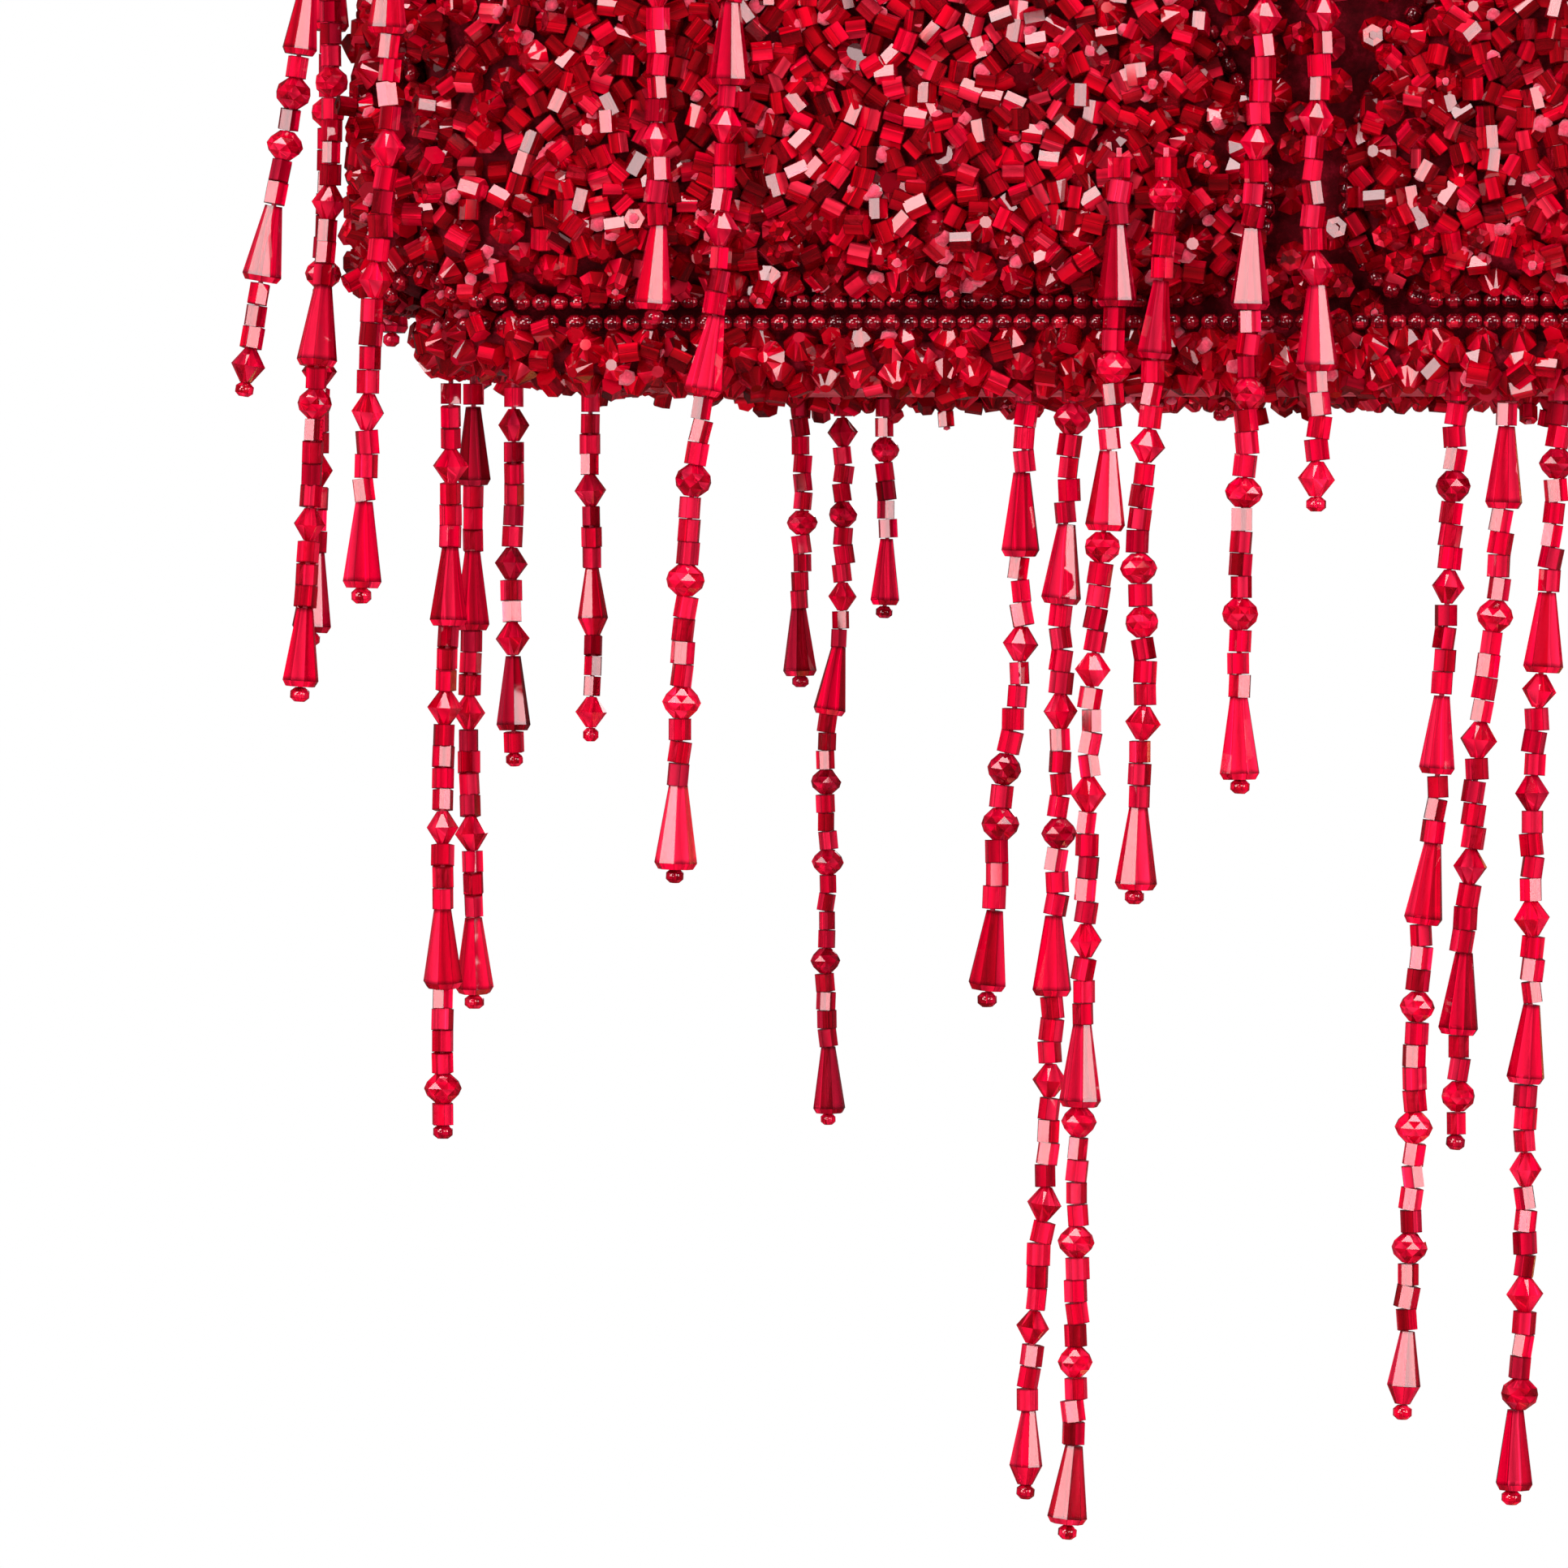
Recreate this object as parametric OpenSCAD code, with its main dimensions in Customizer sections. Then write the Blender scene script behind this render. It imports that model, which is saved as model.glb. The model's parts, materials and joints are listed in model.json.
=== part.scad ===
// Table lamp with an oblong bead-mosaic shade, hanging bead fringes and a turned brass base.
// Millimetres, +Z up, the origin is at the middle of the felt pad's underside.
// +X runs along the shade's long side, and -Y is the front.

/* [Shade] */
// Overall width across the bulged panels, left to right
shade_w = 310; // [300:2:320]
// Overall depth across the bulged panels, front to back
shade_d = 210; // [200:2:220]
// Height of the shade's lower edge above the table
rim_z = 270; // [255:5:290]
// Height of the shade's straight wall, rim to shoulder
wall_h = 92; // [88:1:96]
// Rise of the domed top above the shoulder
dome_h = 58; // [50:1:66]
// Radius of the shade's upright corners
corner_r = 14; // [12:1:16]

/* [Arch panels] */
// Width of one padded arch panel
panel_w = 90; // [84:1:92]
// Height of one padded arch panel
panel_h = 75; // [70:1:75]
// How far the padding stands out of the wall
puff = 7; // [6:0.5:8]
// Distance between neighbouring panels' middles on the long sides
long_pitch = 100; // [98:1:102]
// Distance between neighbouring panels' middles on the short sides
short_pitch = 98; // [97:1:99]

/* [Fringe] */
// Outer radius of the cut beads on a strand
strand_r = 1.1; // [0.9:0.1:1.3]
// Length of the cone bead that ends a strand
cone_l = 8.5; // [7:0.5:9.5]
// Radius of the cone bead's wide end
cone_r = 2.3; // [2:0.1:2.5]

/* [Base] */
// Radius of the foot
foot_r = 76; // [70:1:84]
// Height of the foot
foot_h = 44; // [40:1:46]
// Largest radius of the mosaic urn
urn_r = 40; // [32:1:44]
// Radius of the slender stem
stem_r = 7; // [6.5:0.5:8]

/* [Hidden] */
NODES = ["felt_pad", "foot", "ballast", "rod_washer", "rod_nut", "lamp_rod",
    "cord_bushing", "lower_collar", "urn_core", "upper_collar", "stem", "check_ring",
    "harp_saddle", "saddle_posts", "harp", "harp_stud", "ferrule_left", "ferrule_right",
    "socket_cap", "socket_shell", "socket_liner", "socket_core", "screw_shell",
    "centre_contact", "switch_shaft", "switch_knob", "bulb_cap", "bulb_glass",
    "finial", "spider", "frame_rings", "frame_ribs", "lining", "wall_cloth",
    "dome_cloth", "rim_band", "shoulder_band", "crown_band", "piping",
    "panel_front_left", "panel_front_middle", "panel_front_right",
    "panel_right_front", "panel_right_back", "panel_back_right",
    "panel_back_middle", "panel_back_left", "panel_left_back", "panel_left_front",
    "rim_fringe_front_left", "rim_fringe_front_middle", "rim_fringe_front_right",
    "rim_fringe_right", "rim_fringe_back", "rim_fringe_left",
    "low_fringe_front", "low_fringe_back",
    "shoulder_fringe_front", "shoulder_fringe_right", "shoulder_fringe_back",
    "shoulder_fringe_left"];

// The wall's plan, which the panels and the bands stand on
field_x = shade_w / 2 - puff;
field_y = shade_d / 2 - puff;
shoulder_z = rim_z + wall_h;
top_z = shoulder_z + dome_h;
// The plan of the opening in the crown
crown_x = 56;
crown_y = 38;
crown_r = 34;
cloth_t = 1;
// How far the hem of the short sides is drawn in, between which heights
hem_tuck = 6;
hem_top = rim_z + 20;
rim_x = field_x - hem_tuck;
lining_in = 5;
lining_t = 0.6;
wire_r = 1.6;
rib_r = 1.2;
crown_ring_out = 2;
wire_in = 3.2;
rib_in = 3;
rim_band_r = 4.2;
rim_band_out = 2.8;
shoulder_band_r = 5.5;
crown_band_r = 3.2;
crown_band_out = 2;
band_z = rim_z + rim_band_r;
hem_foot = rim_z + 2 * rim_band_r + 0.2;
rib_hem = hem_foot + 2.7;
lining_hem = hem_foot + 4.9;
lining_foot = rim_z + 2;
panel_z = rim_z + 11;
piping_t = 1.7;
seed_r = 0.85;
seed_out = 4.2;
seed_z = rim_z + 9.2;
// Height at which the panel's upright sides start to lean in, and the curve of its arch
arch_spring = 14;
arch_bend = 1.3;
arch_point = 0.9;
arch_foot_r = 9;

// Lamp pipe and what is threaded on it
rod_r = 5;
rod_bore = 3.2;
slip_bore = 5.2;
pad_t = 3;
shell_t = 1.6;
rim_wall = 12;
neck_r = 14;
bushing_z = 8.7;
bushing_r = 4;
collar_h = 6;
urn_h = 62;
saddle_z = rim_z + 4;
saddle_x = 28;
saddle_t = 2;
leg_r = 2.2;
ferrule_gap = 0.15;
leg_z = saddle_z + 16;
harp_top = top_z - 0.5;
plate_t = 3.5;
washer_z = harp_top + plate_t;
washer_t = 2;
stud_r = 3.1;
socket_z = saddle_z + 2;
shell_z = socket_z + 14;
mouth_z = shell_z + 40;
knob_z = shell_z + 7;
bulb_gap = 0.1;
turn_gap = 0.3;

brass = "#b08d3c";
steel = "#9a9a9a";
cloth_red = "#8e0f1e";
bead_red = "#b01022";

// ---------- helpers ----------

// A filled plan with round corners, made of true arcs
module plan(x, y, r) {
    square([2 * (x - r), 2 * y], center = true);
    square([2 * x, 2 * (y - r)], center = true);
    for (i = [-1, 1], j = [-1, 1])
        translate([i * (x - r), j * (y - r)]) circle(r, $fn = 48);
}

// A round bar bent into a closed oblong loop about the plan, which lies out past the wall
module loop_bar(x, y, r, out, z, bar) {
    cx = x - r;
    cy = y - r;
    translate([0, 0, z]) {
        for (i = [-1, 1]) {
            translate([-cx, i * (y + out), 0]) rotate([0, 90, 0])
                cylinder(r = bar, h = 2 * cx, $fn = 32);
            translate([i * (x + out), cy, 0]) rotate([90, 0, 0])
                cylinder(r = bar, h = 2 * cy, $fn = 32);
        }
        for (c = [[cx, cy, 0], [-cx, cy, 90], [-cx, -cy, 180], [cx, -cy, 270]])
            translate([c[0], c[1], 0]) rotate(c[2])
                rotate_extrude(angle = 90, $fn = 48)
                    translate([r + out, 0]) circle(bar, $fn = 32);
    }
}

// How far the domed top has drawn in at a share of its height, from 0 to 1
function draw_in(u) = 1 - sqrt(1 - u * u);
function blend(a, b, t) = a + (b - a) * t;

// A solid under the domed top, brought in and down by a margin
module dome_body(margin, low) {
    steps = 9;
    hull()
        for (i = [0 : steps]) {
            u = sin(90 * i / steps);
            f = draw_in(u);
            translate([0, 0, max(low, shoulder_z + dome_h * u - margin * u)])
                linear_extrude(0.02)
                    plan(blend(field_x, crown_x, f) - margin * (1 - u),
                         blend(field_y, crown_y, f) - margin * (1 - u),
                         blend(corner_r, crown_r, f) - margin * (1 - u) * 0.9,
                         $fn = 32);
        }
}

// A solid as wide as the upright walls, brought in by a margin, with its hem drawn in
module wall_body(margin, foot, top) {
    hull()
        for (b = [0 : 15 : 90])
            translate([0, 0, hem_top - (hem_top - foot) * sin(b)]) linear_extrude(0.02)
                plan(field_x - margin - hem_tuck * (1 - cos(b)), field_y - margin,
                     corner_r - margin);
    translate([0, 0, hem_top]) linear_extrude(top - hem_top)
        plan(field_x - margin, field_y - margin, corner_r - margin);
}

// A plan the size of the rim's opening, brought in by a margin and drawn up
module rim_body(margin, low, high) {
    translate([0, 0, low]) linear_extrude(high - low)
        plan(rim_x - margin, field_y - margin, corner_r - margin);
}

// Rings of a tube swept along points, as one closed polyhedron
function unit(v) = v / norm(v);
function heading(p, i) =
    unit(p[min(i + 1, len(p) - 1)] - p[max(i - 1, 0)]);
function across(d) = unit(cross(d, abs(d[1]) > 0.9 ? [1, 0, 0] : [0, 1, 0]));
module tube(points, r, sides = 8) {
    n = len(points);
    ring = [for (i = [0 : n - 1])
        let (d = heading(points, i), a = across(d), b = cross(d, a))
        for (k = [0 : sides - 1])
            points[i] + r * (cos(360 * k / sides) * a + sin(360 * k / sides) * b)];
    walls = [for (i = [0 : n - 2], k = [0 : sides - 1])
        let (m = (k + 1) % sides, a = i * sides)
        [a + k, a + sides + k, a + sides + m, a + m]];
    polyhedron(ring, concat([[for (k = [0 : sides - 1]) k]], walls,
        [[for (k = [sides - 1 : -1 : 0]) (n - 1) * sides + k]]), convexity = 8);
}

// Half the width of an arch panel at a height above its foot
function arch_half(z) =
    z <= arch_foot_r ? panel_w / 2 - arch_foot_r
        + sqrt(pow(arch_foot_r, 2) - pow(arch_foot_r - z, 2))
    : z <= arch_spring ? panel_w / 2
    : panel_w / 2 * pow(max(0, 1 - pow((z - arch_spring) / (panel_h - arch_spring),
        arch_bend)), arch_point);

// The arch's outline about its own foot, grown outwards by a margin
function arch_outline(grow = 0) =
    let (zs = concat([for (k = [0 : 3]) arch_foot_r * (1 - cos(30 * k))],
                     [for (k = [0 : 9]) blend(arch_spring, panel_h, k / 10)]),
         kx = (panel_w + 2 * grow) / panel_w,
         kz = (panel_h + 2.4 * grow) / panel_h,
         right = [for (z = zs) [arch_half(z) * kx, z * kz - grow]],
         n = len(right))
    concat(right, [[0, panel_h * kz - grow]],
        [for (i = [n - 1 : -1 : 0]) [-right[i][0], right[i][1]]]);

// Puts a flat outline's solid, drawn with its height along +Y and its face along +Z, on a wall
module on_wall(side, along) {
    turn = side == "front" ? 0 : side == "right" ? 90 : side == "back" ? 180 : 270;
    out = turn % 180 == 0 ? field_y : field_x;
    rotate(turn) translate([along, -out, panel_z]) rotate([90, 0, 0]) children();
}

module arch_panel(side, along) {
    color(bead_red) on_wall(side, along)
        hull()
            for (layer = [[0, 0], [0.4, 0.35], [2, 0.7], [5, 0.93], [10, 1]])
                translate([0, 0, layer[1] * (puff - 0.02)]) linear_extrude(0.02)
                    translate([0, layer[0]])
                        scale([1 - 2 * layer[0] / panel_w, 1 - 2.2 * layer[0] / panel_h])
                            polygon(arch_outline());
}

// ---------- base ----------

module felt_pad() {
    color("#3d1a1c") cylinder(r = foot_r - 3, h = pad_t, $fn = 96);
}

// The foot's swept upper side, from its rim in to its neck, brought in by a margin
function foot_curve(inset) =
    [for (k = [0 : 14]) let (t = k / 14)
        [max(neck_r, neck_r + (foot_r - 20) * pow(1 - t, 2.2) - inset),
         pad_t + rim_wall + (foot_h - pad_t - rim_wall) * t - inset]];

module foot() {
    outer = concat([[foot_r - 1, pad_t], [foot_r, pad_t + 1.5], [foot_r, pad_t + rim_wall - 2],
        [foot_r - 2.5, pad_t + rim_wall]], foot_curve(0));
    inner = concat([[foot_r - 1 - shell_t, pad_t],
        [foot_r - 1 - shell_t, pad_t + rim_wall - shell_t]], foot_curve(shell_t));
    n = len(inner);
    color(brass) difference() {
        rotate_extrude($fn = 96)
            polygon(concat(outer, [[slip_bore, foot_h], [slip_bore, foot_h - shell_t]],
                [for (i = [n - 1 : -1 : 0]) inner[i]]));
        translate([0, foot_r - 8, bushing_z]) rotate([-90, 0, 0])
            cylinder(r = bushing_r, h = 12, $fn = 48);
    }
}

module ballast() {
    color("#3b3b3d") difference() {
        translate([0, 0, pad_t]) cylinder(r = 60, h = 11, $fn = 96);
        cylinder(r = slip_bore, h = 20, $fn = 48);
        translate([0, 0, pad_t - 1]) cylinder(r = 13, h = 6.5, $fn = 48);
        translate([-4, 0, pad_t - 1]) cube([8, 70, 9]);
    }
}

module rod_washer() {
    color(steel) translate([0, 0, pad_t + 4]) difference() {
        cylinder(r = 12, h = 1.5, $fn = 48);
        translate([0, 0, -1]) cylinder(r = slip_bore, h = 4, $fn = 48);
    }
}

module rod_nut() {
    color(brass) translate([0, 0, pad_t + 0.5]) difference() {
        cylinder(r = 8.1, h = 3.5, $fn = 6);
        translate([0, 0, -1]) cylinder(r = rod_r + 0.02, h = 6, $fn = 48);
    }
}

module lamp_rod() {
    color(steel) translate([0, 0, pad_t + 0.5]) difference() {
        cylinder(r = rod_r, h = shell_z - 4 - pad_t, $fn = 48);
        translate([0, 0, -1]) cylinder(r = rod_bore, h = shell_z, $fn = 48);
    }
}

module cord_bushing() {
    color("#2a1a12") translate([0, foot_r - 4, bushing_z]) rotate([-90, 0, 0])
        difference() {
            union() {
                cylinder(r = bushing_r, h = 5.6, $fn = 48);
                translate([0, 0, 4.1]) cylinder(r = bushing_r + 1.3, h = 1.9, $fn = 48);
            }
            translate([0, 0, -1]) cylinder(r = 3, h = 9, $fn = 48);
        }
}

// A turned ring with a round moulding, threaded on the lamp pipe
module turned_ring(z, h, r, bulge) {
    color(brass) translate([0, 0, z]) rotate_extrude($fn = 72)
        polygon(concat([[slip_bore, 0]],
            [for (k = [0 : 10]) [r + bulge * sin(18 * k), h * k / 10]],
            [[slip_bore, h]]));
}

module lower_collar() { turned_ring(foot_h, collar_h, 13, 4); }
module upper_collar() { turned_ring(foot_h + collar_h + urn_h, collar_h, 11, 3.5); }
module check_ring() { turned_ring(rim_z, saddle_z - rim_z, 8, 1.5); }

module urn_core() {
    color(bead_red) translate([0, 0, foot_h + collar_h]) rotate_extrude($fn = 96)
        polygon(concat([[slip_bore, 0]],
            [for (k = [0 : 20]) let (t = k / 20)
                [12 + (urn_r - 12) * pow(sin(180 * pow(t, 0.85)), 0.85), urn_h * t]],
            [[slip_bore, urn_h]]));
}

module stem() {
    low = foot_h + 2 * collar_h + urn_h;
    color(brass) difference() {
        union() {
            translate([0, 0, low]) cylinder(r = stem_r, h = rim_z - low, $fn = 64);
            for (z = [low, blend(low, rim_z, 0.46), rim_z - 5])
                translate([0, 0, z]) cylinder(r = stem_r + 1.4, h = 5, $fn = 64);
        }
        translate([0, 0, low - 1]) cylinder(r = slip_bore, h = rim_z, $fn = 48);
    }
}

// ---------- harp and socket ----------

module harp_saddle() {
    color(brass) translate([0, 0, saddle_z]) difference() {
        union() {
            translate([-saddle_x, -5, 0]) cube([2 * saddle_x, 10, saddle_t]);
            cylinder(r = slip_bore + 4, h = saddle_t, $fn = 48);
            for (i = [-1, 1])
                translate([i * saddle_x, 0, 0]) cylinder(r = 5, h = saddle_t, $fn = 48);
        }
        translate([0, 0, -1]) cylinder(r = slip_bore, h = 4, $fn = 48);
    }
}

// The two pegs that the harp's legs stand on, riveted to the saddle
module saddle_posts() {
    color(brass)
        for (i = [-1, 1])
            translate([i * saddle_x, 0, saddle_z + saddle_t])
                cylinder(r = leg_r, h = leg_z - saddle_z - saddle_t, $fn = 32);
}

// The middle of one harp leg, from above its ferrule to the plate at the top
function leg_path(i) = concat([[i * saddle_x, 0, leg_z + 24]],
    [for (k = [1 : 16]) let (t = k / 16)
        [i * (blend(saddle_x, 6, pow(t, 3)) + 26 * pow(sin(180 * t), 1.6)), 0,
         blend(leg_z + 24, harp_top + 1, t)]]);

module harp() {
    color(brass) {
        for (i = [-1, 1]) {
            translate([i * saddle_x, 0, leg_z + turn_gap])
                cylinder(r = leg_r, h = 24.5 - turn_gap, $fn = 32);
            tube(leg_path(i), leg_r, 12);
        }
        translate([0, 0, harp_top]) cylinder(r = 9, h = plate_t, $fn = 48);
    }
}

module harp_stud() {
    color(brass) translate([0, 0, washer_z]) cylinder(r = stud_r, h = 14, $fn = 48);
}

module ferrule(i) {
    color(brass) translate([i * saddle_x, 0, leg_z - 7]) difference() {
        cylinder(r = 3.6, h = 14, $fn = 48);
        translate([0, 0, -1]) cylinder(r = leg_r + ferrule_gap, h = 16, $fn = 48);
    }
}

module socket_cap() {
    color(brass) translate([0, 0, socket_z]) rotate_extrude($fn = 64)
        polygon([[slip_bore, 0], [10, 0], [15, 3], [18, 8], [19, 14], [18, 14], [17, 8.6],
            [14.4, 4.2], [9.6, 1.2], [slip_bore, 1.2]]);
}

module socket_shell() {
    color(brass) difference() {
        translate([0, 0, shell_z]) cylinder(r = 19, h = mouth_z - shell_z, $fn = 64);
        translate([0, 0, shell_z - 1]) cylinder(r = 18, h = 60, $fn = 64);
        translate([0, 0, knob_z]) rotate([90, 0, 0]) cylinder(r = 2.8, h = 30, $fn = 32);
    }
}

module socket_liner() {
    color("#c9b38a") difference() {
        translate([0, 0, shell_z + 0.5]) cylinder(r = 17.9, h = mouth_z - shell_z - 2, $fn = 64);
        translate([0, 0, shell_z - 1]) cylinder(r = 17.1, h = 60, $fn = 64);
        translate([0, 0, knob_z]) rotate([90, 0, 0]) cylinder(r = 2.8, h = 30, $fn = 32);
    }
}

module socket_core() {
    color("#e8e2d4") difference() {
        translate([0, 0, shell_z + 1]) cylinder(r = 17, h = 12.5, $fn = 64);
        translate([0, 0, knob_z]) rotate([90, 0, 0]) cylinder(r = 2.05, h = 30, $fn = 32);
    }
}

module screw_shell() {
    color(brass) translate([0, 0, shell_z + 13.5]) difference() {
        cylinder(r = 14.3, h = 24, $fn = 64);
        translate([0, 0, -1]) cylinder(r = 13.5, h = 30, $fn = 64);
    }
}

module centre_contact() {
    color(brass) translate([0, 0, shell_z + 13.5]) cylinder(r = 3.5, h = 1.2, $fn = 32);
}

module switch_shaft() {
    color(steel) translate([0, -2, knob_z]) rotate([90, 0, 0])
        cylinder(r = 2, h = 24, $fn = 32);
}

module switch_knob() {
    color("#1d1a18") translate([0, -26, knob_z]) rotate([90, 0, 0]) difference() {
        union() {
            cylinder(r = 5.2, h = 3, $fn = 48);
            translate([0, 0, 3]) cylinder(r = 6.4, h = 11, $fn = 48);
        }
        for (k = [0 : 11])
            rotate(30 * k) translate([7.2, 0, 2]) cylinder(r = 1.3, h = 14, $fn = 24);
    }
}

module bulb_cap() {
    color(steel) translate([0, 0, shell_z + 14.7 + bulb_gap]) {
        cylinder(r1 = 4, r2 = 12, h = 3, $fn = 48);
        translate([0, 0, 3]) cylinder(r = 13.3, h = 23, $fn = 64);
    }
}

module bulb_glass() {
    low = shell_z + 40.8;
    color("#fff3d6") rotate_extrude($fn = 72)
        polygon(concat([[0, low], [12.8, low]],
            [for (k = [0 : 18]) let (a = -56 + 146 * k / 18)
                [22.5 * cos(a), low + 24 + 22.5 * sin(a)]]));
}

module finial() {
    color(brass) translate([0, 0, washer_z + washer_t + turn_gap]) difference() {
        rotate_extrude($fn = 64)
            polygon([[0, 0], [8, 0], [8, 2.5], [5.6, 4], [4.6, 8], [5.4, 12], [8, 15.5], [9, 19.5],
                [8.2, 23.5], [5.2, 28], [2.4, 31.5], [1.2, 35], [0, 36]]);
        translate([0, 0, -1]) cylinder(r = stud_r + 0.1, h = 14, $fn = 48);
    }
}

// ---------- shade frame and cloth ----------

module spider() {
    arm_z = washer_z + washer_t / 2;
    low_z = top_z - 2.8;
    color(brass) difference() {
        union() {
            translate([0, 0, washer_z]) cylinder(r = 11, h = washer_t, $fn = 48);
            for (arm = [[0, crown_x], [90, crown_y], [180, crown_x], [270, crown_y]]) {
                reach = arm[1] + 0.3 - 9;
                rotate(arm[0]) translate([9, 0, arm_z])
                    rotate([0, 90 + atan2(arm_z - low_z, reach), 0])
                        cylinder(r = 1.4, h = norm([reach, arm_z - low_z]), $fn = 24);
            }
        }
        translate([0, 0, washer_z - 3]) cylinder(r = stud_r + 0.1, h = 8, $fn = 48);
        translate([0, 0, washer_z - 6]) cylinder(r = 11, h = 6, $fn = 48);
    }
}

module frame_rings() {
    color(steel) {
        loop_bar(rim_x, field_y, corner_r, -wire_in, band_z, wire_r);
        loop_bar(field_x, field_y, corner_r, -wire_in, shoulder_z - 2, wire_r);
        loop_bar(crown_x, crown_y, crown_r, crown_ring_out, top_z - 2.9, wire_r);
    }
}

// Where the ribs stand: the valleys between panels, and the corners, as [foot, crown] plans
rib_corner = corner_r * (1 - sqrt(0.5));
crown_corner = crown_r * (1 - sqrt(0.5));
RIBS = concat(
    [for (i = [-1, 1], j = [-1, 1]) [[i * long_pitch / 2, j * field_y],
        [i * long_pitch / 2 * crown_x / field_x, j * crown_y]]],
    [for (i = [-1, 1]) [[i * field_x, 0], [i * crown_x, 0]]],
    [for (i = [-1, 1], j = [-1, 1])
        [[i * (field_x - rib_corner), j * (field_y - rib_corner)],
         [i * (crown_x - crown_corner), j * (crown_y - crown_corner)]]]);

module frame_ribs() {
    rise_from = shoulder_z - 2 + wire_r;
    color(steel)
        for (rib = RIBS) {
            on_long = abs(rib[0][1]) == field_y;
            on_short = abs(rib[0][0]) == field_x;
            inward = on_long ? [0, sign(rib[0][1])] : on_short ? [sign(rib[0][0]), 0]
                : [sign(rib[0][0]), sign(rib[0][1])] / sqrt(2);
            foot = rib[0] - inward * rib_in;
            drawn = on_long ? 0 : sign(rib[0][0]) * hem_tuck;
            left_over = (wire_r + crown_ring_out + 0.2) / abs((rib[0] - rib[1]) * inward);
            tube(concat(
                [[foot[0] - drawn, foot[1], band_z + wire_r]],
                [for (b = [90 : -15 : 0]) [foot[0] - drawn * (1 - cos(b)), foot[1],
                    hem_top - (hem_top - rib_hem) * sin(b)]],
                [[foot[0], foot[1], shoulder_z - 2 - wire_r]]), rib_r, 8);
            tube([for (a = concat([for (k = [0 : 8]) 10 * k], [acos(left_over)]))
                    let (u = sin(a), f = draw_in(u),
                         at = blend(rib[0], rib[1], f) - inward * rib_in * (1 - u))
                    [at[0], at[1], blend(rise_from, top_z - rib_in, u)]], rib_r, 6);
        }
}

module lining() {
    color("#a5212f") difference() {
        union() {
            rim_body(lining_in, lining_foot, lining_hem + 0.01);
            wall_body(lining_in, lining_hem, shoulder_z);
            dome_body(lining_in, shoulder_z);
        }
        rim_body(lining_in + lining_t, rim_z, lining_hem + lining_t + 0.01);
        wall_body(lining_in + lining_t, lining_hem + lining_t, shoulder_z + 0.01);
        dome_body(lining_in + lining_t, shoulder_z - 0.02);
        translate([0, 0, top_z - 20]) linear_extrude(40) plan(crown_x, crown_y, crown_r);
    }
}

module wall_cloth() {
    color(cloth_red) difference() {
        wall_body(0, hem_foot, shoulder_z - 4);
        rim_body(cloth_t, hem_foot - 1, hem_foot + cloth_t + 0.01);
        wall_body(cloth_t, hem_foot + cloth_t, shoulder_z);
    }
}

module dome_cloth() {
    color(cloth_red) difference() {
        union() {
            dome_body(0, shoulder_z);
            translate([0, 0, shoulder_z - 4]) linear_extrude(4.01)
                plan(field_x, field_y, corner_r, $fn = 32);
        }
        dome_body(cloth_t, shoulder_z);
        translate([0, 0, shoulder_z - 5]) linear_extrude(5.02)
            plan(field_x - cloth_t, field_y - cloth_t, corner_r - cloth_t, $fn = 32);
        translate([0, 0, top_z - 20]) linear_extrude(40) plan(crown_x, crown_y, crown_r);
    }
}

module rim_band() {
    color(bead_red) loop_bar(rim_x, field_y, corner_r, rim_band_out, band_z, rim_band_r);
}

module shoulder_band() {
    color(bead_red)
        loop_bar(field_x, field_y, corner_r, shoulder_band_r, shoulder_z, shoulder_band_r);
}

module crown_band() {
    color(bead_red) loop_bar(crown_x, crown_y, crown_r, crown_band_out,
        top_z + crown_band_r + 0.1, crown_band_r);
}

// [side, where its middle is along the wall] of the panels, each in the order of NODES
PANELS = concat(
    [for (k = [-1 : 1]) ["front", k * long_pitch]],
    [for (k = [-0.5, 0.5]) ["right", k * short_pitch]],
    [for (k = [-1 : 1]) ["back", k * long_pitch]],
    [for (k = [-0.5, 0.5]) ["left", k * short_pitch]]);
PANEL_NAMES = [for (name = NODES) if (name[0] == "p" && name[1] == "a") name];

module piping() {
    color("#6d0713") {
        loop_bar(rim_x, field_y, corner_r, seed_out, seed_z, seed_r);
        for (p = PANELS)
            on_wall(p[0], p[1]) linear_extrude(1.8) difference() {
                polygon(arch_outline(piping_t));
                polygon(arch_outline(0.02));
            }
    }
}

// ---------- fringe ----------

// Where strands hang: the rim's underside, the shoulder band's front, a panel's face
rim_line = rim_band_out - 1;
shoulder_line = puff + 2.6;
face_line = puff + 2.8;
rim_hang = rim_z - 0.6;
shoulder_hang = shoulder_z - 5.2;
low_hang = rim_z + 23;

// Strands as [place along the wall, length, lean, set-back]. The lean is how far the tip
// stands to the right on the front and back, and how far it stands out on the short sides.
RIM_FRONT_LEFT = [[-80, 65, -4, 0], [-75, 118, -5, 0]];
RIM_FRONT_MIDDLE = [[-34, 109, -5.5, 0], [-28.5, 80, -5.5, 0], [-23, 118, -5, 0], [8, 44, 0, 0],
    [28, 105, 3, 0], [34, 62, 2, 0]];
RIM_FRONT_RIGHT = [[62, 30, 1, 0], [78, 112, 4, 0], [84, 71, 3, 0], [104, 50, 0, 0],
    [131, 64, 2, 0]];
RIM_RIGHT = [[-62, 60, 0, 0], [-38, 108, 0, 0], [-31, 47, 0, 0], [2, 74, 0, 0],
    [38, 33, 0, 0], [52, 96, 0, 0], [58, 52, 0, 0]];
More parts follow.
